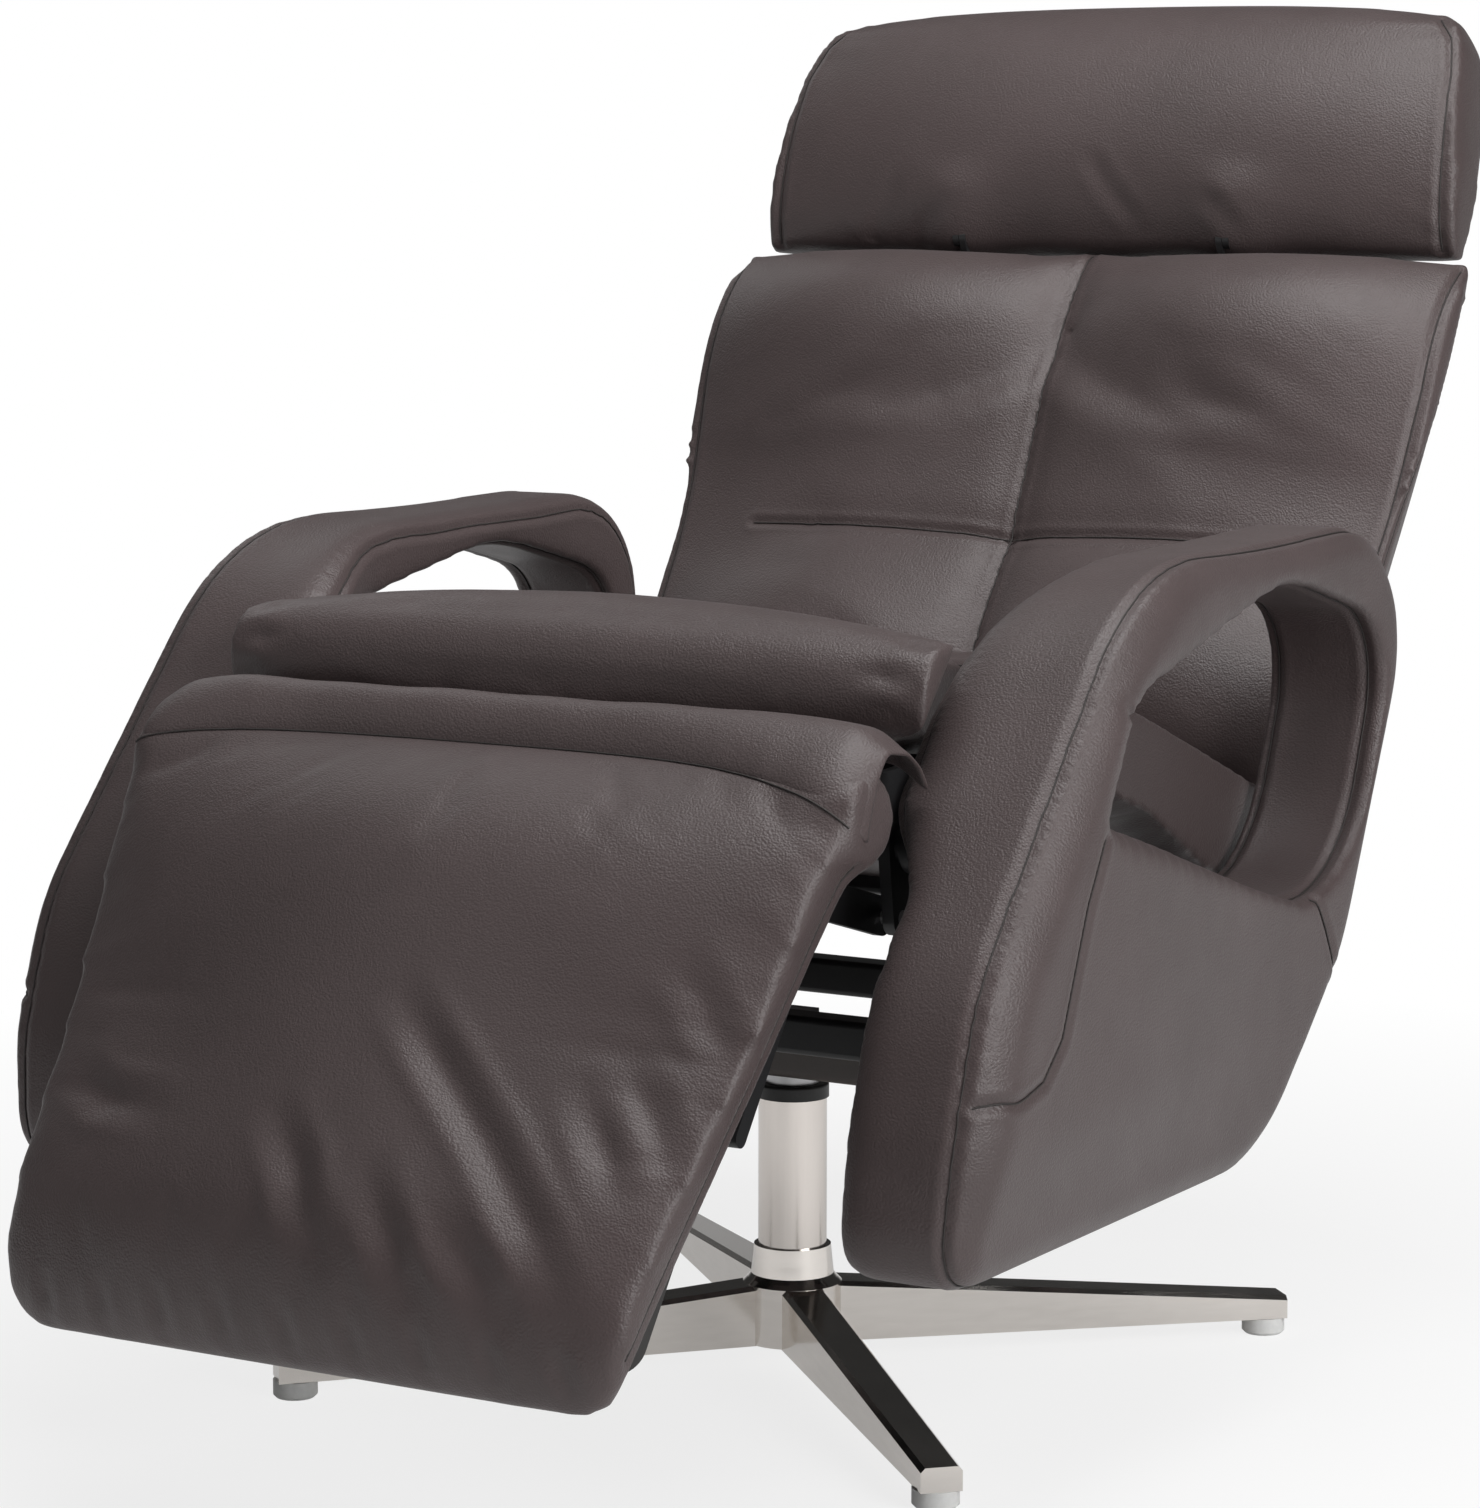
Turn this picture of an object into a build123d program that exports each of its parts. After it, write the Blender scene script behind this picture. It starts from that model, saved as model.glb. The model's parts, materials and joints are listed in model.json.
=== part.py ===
from build123d import *
import os
from math import cos, radians, sin, tan

# A swivel recliner: four-star base, swivel column, tilting seat between two padded arm loops,
# reclining back with a ratchet headrest, and a footrest raised by a parallel linkage.
# Millimetres, +Z up, the sitter faces -Y, the sitter's left is +X.
# The origin is on the floor, on the swivel axis.

# Fits and clearances
running_gap = 0.05
seat_gap = 0.1
open_pivot_gap = 0.5
soft_gap = 0.5

# Star base
leg_count = 4
leg_angle = 45.0
foot_radius = 345.0
leg_overhang = 13.0
leg_root_width = 31.0
leg_tip_width = 27.0
leg_root_top = 62.0
leg_root_bottom = 18.0
leg_tip_thickness = 16.0
leg_wall = 4.5
leg_edge = 3.0
glide_diameter = 30.0
glide_height = 12.0
glide_edge = 2.0
stud_diameter = 8.0
stud_length = 11.0
hub_diameter = 68.0
hub_collar_diameter = 57.0
hub_collar_height = 23.0
hub_floor = 30.0

# Column and swivel
column_diameter = 47.0
column_wall = 3.5
column_top = 188.0
spindle_diameter = 30.0
spindle_neck_diameter = 37.0
spindle_stub_diameter = 24.0
spindle_foot = 58.0
bush_length = 34.0
collar_diameter = 50.0
collar_height = 10.0
neck_height = 7.0
circlip_diameter = 36.0
circlip_thickness = 2.0
circlip_depth = 1.5
nut_across_flats = 36.0
nut_height = 12.0
column_bolt_diameter = 12.0
column_bolt_head = 19.0
column_bolt_head_height = 7.0

# Chassis
beam_depth = 54.0
beam_height = 30.0
beam_wall = 3.0
plate_inner = 240.0
plate_thickness = 6.0
plate_corner = 16.0
plate_hole_center = (-104.0, 318.0)
plate_hole_diameter = 48.0
bar_size = 25.0
bar_wall = 2.0
front_bar_y = -188.0
front_bar_lift = 27.0
rear_bar_y = 122.0
rear_bar_lift = 2.0

# Arm loops
arm_inner = 262.0
arm_width = 76.0
arm_crown = 12.0
arm_crown_slope = 52.0
arm_edge = 10.0
arm_edge_slope = 45.0
arm_bolt_diameter = 8.0
arm_bolt_head = 14.0
arm_bolt_head_height = 6.0
arm_bolt_depth = 28.0
arm_spacer_diameter = 22.0
arm_bolt_points = [(-196.0, 312.0), (-20.0, 252.0), (104.0, 274.0)]
# Corners (Y, Z) and rounding of the arm and of its hand hole, from the lower front round over the top
arm_corners = [(-420, 176), (-366, 345), (-165, 575), (282, 584), (140, 290), (10, 176)]
arm_radii = [30, 150, 190, 85, 200, 150]
hole_corners = [(-254, 425), (-202, 510), (40, 556), (212, 512), (139, 322)]
hole_radii = [14, 60, 200, 55, 110]

# Seat
seat_slope = 20.0
seat_datum = 400.0
seat_half_width = 258.0
seat_end_inset = 10.0
seat_bottom = -12.0
seat_top = 60.0
seat_crown = 16.0
seat_rear = 241.0
seat_rear_radius = 26.0
seat_heel_run = 41.0
seat_heel_rise = 32.0
roll_center = (-276.0, 9.0)
roll_radius = 46.0
roll_foot_angle = 255.0
roll_nose_angle = 180.0
roll_crest_angle = 80.0
roll_tuck = 28.0
rail_inner = 226.0
rail_thickness = 6.0
rail_height = 34.0
strap_thickness = 3.0
strap_width = 52.0
strap_count = 5
strap_pitch = 84.0
seat_tube_size = 20.0
seat_tube_wall = 2.0
seat_front_tube = -214.0
seat_rear_tube = 196.0

# Tilt, recline and footrest pivots (Y, Z)
tilt_pivot = (-175.0, 395.0)
back_pivot = (258.0, 325.0)
foot_pivot = (-359.0, 442.0)
crank_pivot = (-246.0, 410.0)
tilt_pin_diameter = 16.0
tilt_eye = 22.0
pin_diameter = 12.0
pin_eye = 15.0
pin_head = 18.0
pin_head_height = 4.0

# Backrest, measured along the back (u), out of its front (w) and across (X)
back_lean = 30.0
back_half_width = 290.0
back_low_half_width = 284.0
back_bottom = 46.0
back_top = 460.0
back_seam = 222.0
back_rear_face = 30.0
back_front_face = 72.0
back_crown = 24.0
back_channel = 6.0
back_side_draw = 9.0
back_tube_size = 22.0
back_tube_wall = 2.0
back_tube_bottom = 62.0
hinge_plate_thickness = 6.0
hinge_plate_gap = 4.0
hinge_plate_length = 150.0
cover_depth = 56.0
cover_wall = 6.0
cover_taper = 22.0
cover_corner = 60.0
cover_margin = 6.0
leaf_slot = 48.0

# Headrest
head_pivot_u = 476.0
head_pivot_w = 56.0
head_bottom = 468.0
head_top = 682.0
head_half_width = 288.0
head_top_half_width = 276.0
head_corner = 68.0
head_rear_face = 24.0
head_front_face = 70.0
head_crown = 20.0
head_crest_drop = 30.0
head_end_inset = 12.0
head_board_thickness = 10.0
head_board_margin = 30.0
head_board_slot = 45.0
head_cover_depth = 16.0
head_cover_taper = 35.0
leaf_center = 110.0
leaf_thickness = 5.0
leaf_gap = 0.5
leaf_eye = 8.0
head_pin_diameter = 8.0

# Footrest, measured up the pad (negative towards the toes) and out of its front
foot_slope = 54.3
foot_half_width = 264.0
foot_toe_half_width = 220.0
foot_length = 378.0
foot_toe_corner = 32.0
foot_side_draw = 11.5
foot_radius_top = 30.0
foot_back_face = -22.0
foot_side_face = 20.0
foot_crown = 27.0
foot_board_thickness = 12.0
foot_board_start = 62.0
foot_board_margin = 34.0
bracket_inner = 212.0
bracket_thickness = 8.0
bracket_tail = 190.0
bracket_depth = 12.0
lever_length = 45.0
lever_eye = 11.0
lever_pin_diameter = 10.0
pin_clip_width = 2.0
link_inner = 201.0
link_thickness = 6.0
link_eye = 12.0
crank_tube_diameter = 22.0
crank_tube_wall = 2.5
crank_eye = 17.0

os.makedirs("parts", exist_ok=True)

sides = [("left", 1), ("right", -1)]
signs = (1, -1)


def keep(piece, name):
    """Label a finished piece and write it."""
    piece.part.label = name
    export_step(piece.part, f"parts/{name}.step")


def side_plane(side, distance):
    """The YZ plane at a distance out from the middle, on one side."""
    return Plane.YZ.offset(side * distance)


def section_plane(frame, distance):
    """A plane across X in a slanted frame: local x runs along the frame, local y out of its face."""
    return Plane(frame.origin, x_dir=frame.y_dir, z_dir=(1, 0, 0)).offset(distance)


def cross_plane(frame, distance):
    """A plane square to a slanted frame's length: local x is X, local y is out of its face."""
    origin = frame.origin + frame.y_dir * distance
    return Plane(origin, x_dir=(1, 0, 0), z_dir=frame.y_dir * -1)


def eye_bar(start, end, start_radius, end_radius):
    """The outline of a flat bar with two rounded ends."""
    with BuildSketch(mode=Mode.PRIVATE) as bar:
        with Locations(start):
            Circle(start_radius)
        with Locations(end):
            Circle(end_radius)
        make_hull()
    return bar.sketch


def hollow(width, height, wall):
    """The section of a rectangular tube with rounded corners."""
    with BuildSketch(mode=Mode.PRIVATE) as tube:
        RectangleRounded(width, height, 2 * wall)
        RectangleRounded(width - 2 * wall, height - 2 * wall, wall, mode=Mode.SUBTRACT)
    return tube.sketch


# Slanted frames of the seat, the back and the footrest
slope = radians(seat_slope)
lean = radians(back_lean)
dip = radians(foot_slope)
seat_face = Plane((0, 0, seat_datum), x_dir=(1, 0, 0), z_dir=(0, sin(slope), cos(slope)))
back_face = Plane((0, *back_pivot), x_dir=(1, 0, 0), z_dir=(0, -cos(lean), sin(lean)))
foot_face = Plane((0, *foot_pivot), x_dir=(1, 0, 0), z_dir=(0, -sin(dip), cos(dip)))


def in_seat(point):
    """A (Y, Z) point as (along, out of) the seat's face."""
    rise = point[1] - seat_datum
    return (point[0] * cos(slope) - rise * sin(slope), point[0] * sin(slope) + rise * cos(slope))


# Heights that follow from the sizes above
hub_top = leg_root_top + hub_collar_height
leg_tip_top = glide_height + leg_tip_thickness
leg_end = foot_radius + leg_overhang
column_inner = column_diameter - 2 * column_wall
collar_top = column_top + collar_height
beam_bottom = collar_top + neck_height
beam_top = beam_bottom + beam_height
plate_outer = plate_inner + plate_thickness
rail_outer = rail_inner + rail_thickness
rail_top = seat_bottom - strap_thickness


def leg_section(plane, width, bottom, top):
    """A leg's section with its two upper edges broken."""
    half = width / 2
    with BuildSketch(plane, mode=Mode.PRIVATE) as section:
        with BuildLine():
            Polyline(
                (-half, bottom),
                (half, bottom),
                (half, top - leg_edge),
                (half - leg_edge, top),
                (leg_edge - half, top),
                (-half, top - leg_edge),
                close=True,
            )
        make_face()
    return section.sketch


def leg_plane(angle, radius):
    """The plane square to a leg at a radius: local x is across the leg, local y is up."""
    turn = radians(angle)
    out = Vector(cos(turn), sin(turn), 0)
    return Plane(out * radius, x_dir=(-sin(turn), cos(turn), 0), z_dir=out)


leg_angles = [leg_angle + 360 / leg_count * index for index in range(leg_count)]
foot_points = [(foot_radius * cos(radians(a)), foot_radius * sin(radians(a))) for a in leg_angles]

# Star base: a cast hub with four tapering legs, open underneath
with BuildPart() as star_base:
    for angle in leg_angles:
        root = leg_section(leg_plane(angle, 0), leg_root_width, leg_root_bottom, leg_root_top)
        tip = leg_section(leg_plane(angle, leg_end), leg_tip_width, glide_height, leg_tip_top)
        loft([root, tip], ruled=True)
    for angle in leg_angles:
        with BuildSketch(leg_plane(angle, 0)):
            with Locations((0, (leg_root_top - leg_wall + glide_height - leg_wall) / 2)):
                Rectangle(leg_root_width - 2 * leg_wall, leg_root_top - glide_height)
        with BuildSketch(leg_plane(angle, leg_end - leg_wall)):
            with Locations((0, (leg_tip_top - leg_wall + glide_height - leg_wall) / 2)):
                Rectangle(leg_tip_width - 2 * leg_wall, leg_tip_thickness)
        loft(ruled=True, mode=Mode.SUBTRACT)
    with BuildSketch(Plane.XY.offset(glide_height)):
        with Locations(foot_points):
            Circle(leg_tip_width / 2 - leg_edge / 2)
    extrude(amount=leg_tip_thickness - leg_edge)
    with BuildSketch(Plane.XZ):
        with BuildLine():
            Polyline(
                (0, leg_root_bottom),
                (hub_diameter / 2, leg_root_bottom),
                (hub_diameter / 2, leg_root_top - leg_edge),
                (hub_diameter / 2 - leg_edge, leg_root_top),
                (hub_collar_diameter / 2, leg_root_top + leg_edge),
                (column_diameter / 2 + leg_edge, hub_top),
                (0, hub_top),
                close=True,
            )
        make_face()
    revolve(axis=Axis.Z)
    with BuildSketch(Plane.XY.offset(hub_floor)):
        Circle(column_diameter / 2 + seat_gap)
    extrude(amount=hub_top, mode=Mode.SUBTRACT)
    with BuildSketch(Plane.XY):
        Circle(column_bolt_diameter / 2 + seat_gap)
    extrude(amount=hub_top, mode=Mode.SUBTRACT)
    with BuildSketch(Plane.XY.offset(glide_height)):
        with Locations(foot_points):
            Circle(stud_diameter / 2 + seat_gap)
    extrude(amount=stud_length, mode=Mode.SUBTRACT)
keep(star_base, "star_base")

# Four screw-in floor glides
with BuildPart() as foot_glides:
    with BuildSketch():
        with Locations(foot_points):
            Circle(glide_diameter / 2)
    extrude(amount=glide_height)
    chamfer(foot_glides.faces().sort_by(Axis.Z)[:leg_count].edges(), glide_edge)
    with BuildSketch(Plane.XY.offset(glide_height)):
        with Locations(foot_points):
            Circle(stud_diameter / 2)
    extrude(amount=stud_length - seat_gap)
keep(foot_glides, "foot_glides")

# Column tube with a welded foot plug, seated in the hub and held from below by one bolt
with BuildPart() as column_tube:
    with BuildSketch(Plane.XY.offset(hub_floor)):
        Circle(column_diameter / 2)
    extrude(amount=column_top - hub_floor)
    with BuildSketch(Plane.XY.offset(hub_floor + column_bolt_diameter)):
        Circle(column_inner / 2)
    extrude(amount=column_top, mode=Mode.SUBTRACT)
    with BuildSketch(Plane.XY.offset(hub_floor)):
        Circle(column_bolt_diameter / 2 + seat_gap)
    extrude(amount=column_bolt_diameter, mode=Mode.SUBTRACT)
keep(column_tube, "column_tube")

with BuildPart() as column_bolt:
    with BuildSketch(Plane.XY.offset(leg_root_bottom - column_bolt_head_height)):
        RegularPolygon(column_bolt_head / 2, 6, major_radius=False)
    extrude(amount=column_bolt_head_height)
    with BuildSketch(Plane.XY.offset(leg_root_bottom)):
        Circle(column_bolt_diameter / 2)
    extrude(amount=hub_floor + column_bolt_diameter - leg_root_bottom)
keep(column_bolt, "column_bolt")

# Two bearing bushes inside the column
bush_bottoms = [spindle_foot + circlip_thickness + circlip_depth, column_top - bush_length]
with BuildPart() as column_bushes:
    for bottom in bush_bottoms:
        with BuildSketch(Plane.XY.offset(bottom)):
            Circle(column_inner / 2 - running_gap)
            Circle(spindle_diameter / 2 + running_gap, mode=Mode.SUBTRACT)
        extrude(amount=bush_length)
keep(column_bushes, "column_bushes")

# Swivel spindle with its neck, and a groove for the circlip below the lower bush
with BuildPart() as spindle:
    with BuildSketch(Plane.XY.offset(spindle_foot - circlip_thickness)):
        Circle(spindle_diameter / 2)
    extrude(amount=collar_top - spindle_foot + circlip_thickness)
    with BuildSketch(Plane.XY.offset(collar_top)):
        Circle(spindle_neck_diameter / 2)
    extrude(amount=neck_height)
    with BuildSketch(Plane.XY.offset(beam_bottom)):
        Circle(spindle_stub_diameter / 2)
    extrude(amount=beam_height + nut_height)
    with BuildSketch(Plane.XY.offset(spindle_foot)):
        Circle(spindle_diameter / 2)
        Circle(spindle_diameter / 2 - circlip_depth, mode=Mode.SUBTRACT)
    extrude(amount=circlip_thickness, mode=Mode.SUBTRACT)
keep(spindle, "spindle")

with BuildPart() as spindle_circlip:
    with BuildSketch(Plane.XY.offset(spindle_foot)):
        Circle(circlip_diameter / 2)
        Circle(spindle_diameter / 2 - circlip_depth + running_gap, mode=Mode.SUBTRACT)
    extrude(amount=circlip_thickness)
keep(spindle_circlip, "spindle_circlip")

with BuildPart() as swivel_collar:
    with BuildSketch(Plane.XY.offset(column_top)):
        Circle(collar_diameter / 2)
        Circle(spindle_diameter / 2 + seat_gap, mode=Mode.SUBTRACT)
    extrude(amount=collar_height)
    fillet(swivel_collar.faces().sort_by(Axis.Z)[-1].outer_wire().edges(), glide_edge)
keep(swivel_collar, "swivel_collar")

with BuildPart() as spindle_nut:
    with BuildSketch(Plane.XY.offset(beam_top)):
        RegularPolygon(nut_across_flats / 2, 6, major_radius=False)
        Circle(spindle_stub_diameter / 2 + seat_gap, mode=Mode.SUBTRACT)
    extrude(amount=nut_height)
keep(spindle_nut, "spindle_nut")

# Box beam across the spindle, open at its ends
with BuildPart() as swivel_beam:
    with BuildSketch(Plane.YZ.offset(-plate_inner)):
        with Locations((0, beam_bottom + beam_height / 2)):
            add(hollow(beam_depth, beam_height, beam_wall))
    extrude(amount=2 * plate_inner)
    with BuildSketch(Plane.XY.offset(beam_bottom)):
        Circle(spindle_stub_diameter / 2 + seat_gap)
    extrude(amount=beam_height, mode=Mode.SUBTRACT)
keep(swivel_beam, "swivel_beam")


def cross_bar(center_y, bottom):
    """A square tube that ties the two chassis plates together."""
    with BuildPart() as bar:
        with BuildSketch(Plane.YZ.offset(-plate_inner)):
            with Locations((center_y, bottom + bar_size / 2)):
                add(hollow(bar_size, bar_size, bar_wall))
        extrude(amount=2 * plate_inner)
    return bar


keep(cross_bar(front_bar_y, beam_top + front_bar_lift), "front_cross_bar")
keep(cross_bar(rear_bar_y, beam_top + rear_bar_lift), "rear_cross_bar")

# Chassis plates: flat pressings that carry the tilt pivots and the arms
plate_corners = [
    (-beam_depth, beam_bottom),
    (beam_depth, beam_bottom),
    (rear_bar_y + bar_size, beam_top + rear_bar_lift),
    (rear_bar_y + bar_size, arm_bolt_points[2][1] + arm_spacer_diameter),
    (arm_bolt_points[1][0] + beam_depth, arm_bolt_points[2][1] + arm_spacer_diameter),
    (tilt_pivot[0] + 2 * tilt_eye, tilt_pivot[1] + tilt_eye),
    (tilt_pivot[0] - tilt_eye, tilt_pivot[1] + tilt_eye),
    (front_bar_y - 2 * bar_size, arm_bolt_points[0][1]),
    (front_bar_y - 2 * bar_size, beam_top + front_bar_lift - bar_size / 2),
]
for name, side in sides:
    with BuildPart() as chassis_plate:
        with BuildSketch(side_plane(side, plate_inner)):
            with BuildLine():
                FilletPolyline(*plate_corners, radius=plate_corner, close=True)
            make_face()
            with Locations(plate_hole_center):
                Circle(plate_hole_diameter / 2, mode=Mode.SUBTRACT)
            with Locations(tilt_pivot):
                Circle(tilt_pin_diameter / 2 + seat_gap, mode=Mode.SUBTRACT)
            with Locations(arm_bolt_points):
                Circle(arm_bolt_diameter / 2 + seat_gap, mode=Mode.SUBTRACT)
        extrude(amount=side * plate_thickness)
    keep(chassis_plate, f"{name}_chassis_plate")

# Arm loops: a padded band round a hand hole, with a crowned outer panel
with BuildSketch() as arm_face:
    with BuildLine():
        FilletPolyline(*arm_corners, radius=arm_radii, close=True)
    make_face()
with BuildSketch() as hand_hole:
    with BuildLine():
        FilletPolyline(*hole_corners, radius=hole_radii, close=True)
    make_face()

arm_outer = arm_inner + arm_width
for name, side in sides:
    with BuildPart() as arm:
        with BuildSketch(side_plane(side, arm_inner + arm_edge)):
            add(arm_face.sketch)
        extrude(amount=side * (arm_width - arm_edge))
        with BuildSketch(side_plane(side, arm_inner + arm_edge)):
            add(arm_face.sketch)
        extrude(amount=-side * arm_edge, taper=arm_edge_slope)
        with BuildSketch(side_plane(side, arm_outer)):
            add(arm_face.sketch)
        extrude(amount=side * arm_crown, taper=arm_crown_slope)
        with BuildSketch(side_plane(side, arm_inner)):
            add(hand_hole.sketch)
        extrude(amount=side * (arm_width + arm_crown), mode=Mode.SUBTRACT)
        with BuildSketch(side_plane(side, arm_inner)):
            with Locations(arm_bolt_points):
                Circle(arm_bolt_diameter / 2 + seat_gap)
        extrude(amount=side * arm_bolt_depth, mode=Mode.SUBTRACT)
    keep(arm, f"{name}_arm")

# Spacers and bolts that hold the arms to the chassis plates
with BuildPart() as arm_spacers:
    for side in signs:
        with BuildSketch(side_plane(side, plate_outer)):
            with Locations(arm_bolt_points):
                Circle(arm_spacer_diameter / 2)
                Circle(arm_bolt_diameter / 2 + seat_gap, mode=Mode.SUBTRACT)
        extrude(amount=side * (arm_inner - plate_outer))
keep(arm_spacers, "arm_spacers")

with BuildPart() as arm_bolts:
    for side in signs:
        with BuildSketch(side_plane(side, plate_inner)):
            with Locations(arm_bolt_points):
                RegularPolygon(arm_bolt_head / 2, 6, major_radius=False)
        extrude(amount=-side * arm_bolt_head_height)
        with BuildSketch(side_plane(side, plate_inner)):
            with Locations(arm_bolt_points):
                Circle(arm_bolt_diameter / 2)
        extrude(amount=side * (arm_inner - plate_inner + arm_bolt_depth - seat_gap))
keep(arm_bolts, "arm_bolts")

# Tilt pivots: a pin, a friction washer and the seat rail on each side
with BuildPart() as tilt_pins:
    for side in signs:
        with BuildSketch(side_plane(side, plate_outer)):
            with Locations(tilt_pivot):
                Circle(tilt_eye / 2 + pin_head_height)
        extrude(amount=side * pin_head_height)
        with BuildSketch(side_plane(side, plate_outer)):
            with Locations(tilt_pivot):
                Circle(tilt_pin_diameter / 2)
        extrude(amount=side * (rail_inner - pin_head_height - plate_outer))
keep(tilt_pins, "tilt_pins")

with BuildPart() as tilt_washers:
    for side in signs:
        with BuildSketch(side_plane(side, rail_outer)):
            with Locations(tilt_pivot):
                Circle(tilt_eye)
                Circle(tilt_pin_diameter / 2 + seat_gap, mode=Mode.SUBTRACT)
        extrude(amount=side * (plate_inner - rail_outer))
keep(tilt_washers, "tilt_washers")

# Seat rails: cranked flat bars that carry the footrest, crank, tilt and back pivots
rail_middle = rail_top - rail_height / 2
rail_front = (seat_front_tube - seat_tube_size / 2, rail_middle)
rail_back = (seat_rear_tube + seat_tube_size / 2, rail_middle)
rail_radius = rail_height / 2
tilt_in_seat = in_seat(tilt_pivot)
foot_in_seat = in_seat(foot_pivot)
crank_in_seat = in_seat(crank_pivot)
back_in_seat = in_seat(back_pivot)
for name, side in sides:
    with BuildPart() as seat_rail:
        with BuildSketch(section_plane(seat_face, side * rail_inner)):
            add(eye_bar(rail_front, rail_back, rail_radius, rail_radius))
            add(eye_bar(rail_front, foot_in_seat, rail_radius, pin_eye))
            add(eye_bar(rail_front, crank_in_seat, rail_radius, crank_eye))
            add(eye_bar((tilt_in_seat[0], rail_middle), tilt_in_seat, rail_radius, tilt_eye))
            add(eye_bar(rail_back, back_in_seat, rail_radius, pin_eye))
            with Locations(tilt_in_seat):
                Circle(tilt_pin_diameter / 2 + running_gap, mode=Mode.SUBTRACT)
            with Locations(foot_in_seat, back_in_seat):
                Circle(pin_diameter / 2 + seat_gap, mode=Mode.SUBTRACT)
            with Locations(crank_in_seat):
                Circle(crank_tube_diameter / 2 + running_gap, mode=Mode.SUBTRACT)
        extrude(amount=side * rail_thickness)
    keep(seat_rail, f"{name}_seat_rail")


def seat_tube(along):
    """A square tube between the seat rails, its top level with theirs."""
    with BuildPart() as tube:
        with BuildSketch(section_plane(seat_face, -rail_inner)):
            with Locations((along, rail_top - seat_tube_size / 2)):
                add(hollow(seat_tube_size, seat_tube_size, seat_tube_wall))
        extrude(amount=2 * rail_inner)
    return tube


keep(seat_tube(seat_front_tube), "seat_front_tube")
keep(seat_tube(seat_rear_tube), "seat_rear_tube")

# Elastic straps stretched from the front tube to the rear tube, under the cushion
with BuildPart() as seat_straps:
    with BuildSketch(seat_face.offset(rail_top)):
        with Locations((0, (seat_front_tube + seat_rear_tube) / 2)):
            with GridLocations(strap_pitch, strap_width, strap_count, 1):
                Rectangle(strap_width, seat_rear_tube - seat_front_tube + seat_tube_size)
    extrude(amount=strap_thickness)
keep(seat_straps, "seat_straps")


def polar(center, radius, angle):
    """A point at a radius and an angle from a center."""
    return (center[0] + radius * cos(radians(angle)), center[1] + radius * sin(radians(angle)))


def seat_section(across, inset, crown):
    """The seat's side outline: front roll, crowned top and curled rear end."""
    roll = roll_radius - inset
    top = seat_top - inset
    rear = seat_rear - inset
    curl = (rear - seat_rear_radius, top - seat_rear_radius)
    roll_foot = polar(roll_center, roll, roll_foot_angle)
    roll_under = polar(roll_center, roll, (roll_foot_angle + roll_nose_angle) / 2)
    roll_nose = polar(roll_center, roll, roll_nose_angle)
    roll_brow = polar(roll_center, roll, (roll_nose_angle + roll_crest_angle) / 2)
    roll_crest = polar(roll_center, roll, roll_crest_angle)
    curl_top = polar(curl, seat_rear_radius, 90)
    curl_middle = polar(curl, seat_rear_radius, 45)
    curl_end = polar(curl, seat_rear_radius, 0)
    middle = (roll_center[0] + rear) / 2
    with BuildSketch(section_plane(seat_face, across), mode=Mode.PRIVATE) as section:
        with BuildLine():
            ThreePointArc(roll_foot, roll_under, roll_nose)
            ThreePointArc(roll_nose, roll_brow, roll_crest)
            ThreePointArc(roll_crest, (middle, top + crown), curl_top)
            ThreePointArc(curl_top, curl_middle, curl_end)
            Polyline(
                curl_end,
                (rear, seat_bottom + seat_heel_rise),
                (seat_rear - seat_heel_run, seat_bottom),
                (roll_center[0] + roll_tuck, seat_bottom),
                roll_foot,
            )
        make_face()
    return section.sketch


# How far the ends of a cushion are drawn in, from one end across to the other
end_draw = [(-1, 1), (-0.5, 0.1), (0, 0), (0.5, 0.1), (1, 1)]
seat_sections = []
for place, draw in end_draw:
    crown = (1 - draw) * seat_crown
    seat_sections.append(seat_section(place * seat_half_width, draw * seat_end_inset, crown))
with BuildPart() as seat_cushion:
    loft(seat_sections)
keep(seat_cushion, "seat_cushion")


def pivot_pins(pivot, inner):
    """A pair of headed pins through the seat rails, reaching in to the moving plates."""
    with BuildPart() as pins:
        for side in signs:
            with BuildSketch(side_plane(side, rail_outer)):
                with Locations(pivot):
                    Circle(pin_head / 2)
            extrude(amount=side * pin_head_height)
            with BuildSketch(side_plane(side, rail_outer)):
                with Locations(pivot):
                    Circle(pin_diameter / 2)
            extrude(amount=side * (inner - rail_outer))
    return pins


hinge_plate_inner = rail_inner - hinge_plate_gap - hinge_plate_thickness
keep(pivot_pins(foot_pivot, bracket_inner), "footrest_pins")
keep(pivot_pins(back_pivot, hinge_plate_inner), "back_pins")

# Back frame: welded square tubes between two hinge plates
back_tube_center = hinge_plate_inner - back_tube_size / 2
cover_draw = (back_rear_face + back_tube_size / 2) * tan(radians(cover_taper))
back_tube_top = back_top - cover_wall - cover_margin - cover_draw
upright_length = back_tube_top - back_tube_bottom
for name, side in sides:
    with BuildPart() as back_upright:
        with BuildSketch(cross_plane(back_face, back_tube_bottom)):
            with Locations((side * back_tube_center, 0)):
                add(hollow(back_tube_size, back_tube_size, back_tube_wall))
        extrude(amount=-upright_length)
    keep(back_upright, f"{name}_back_upright")

back_tube_inner = back_tube_center - back_tube_size / 2
cross_tubes = [
    ("back_lower_tube", back_tube_bottom + back_tube_size / 2),
    ("back_middle_tube", back_seam),
    ("back_upper_tube", back_tube_top - back_tube_size / 2),
]
for name, along in cross_tubes:
    with BuildPart() as back_cross_tube:
        with BuildSketch(section_plane(back_face, -back_tube_inner)):
            with Locations((along, 0)):
                add(hollow(back_tube_size, back_tube_size, back_tube_wall))
        extrude(amount=2 * back_tube_inner)
    keep(back_cross_tube, name)

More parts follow.
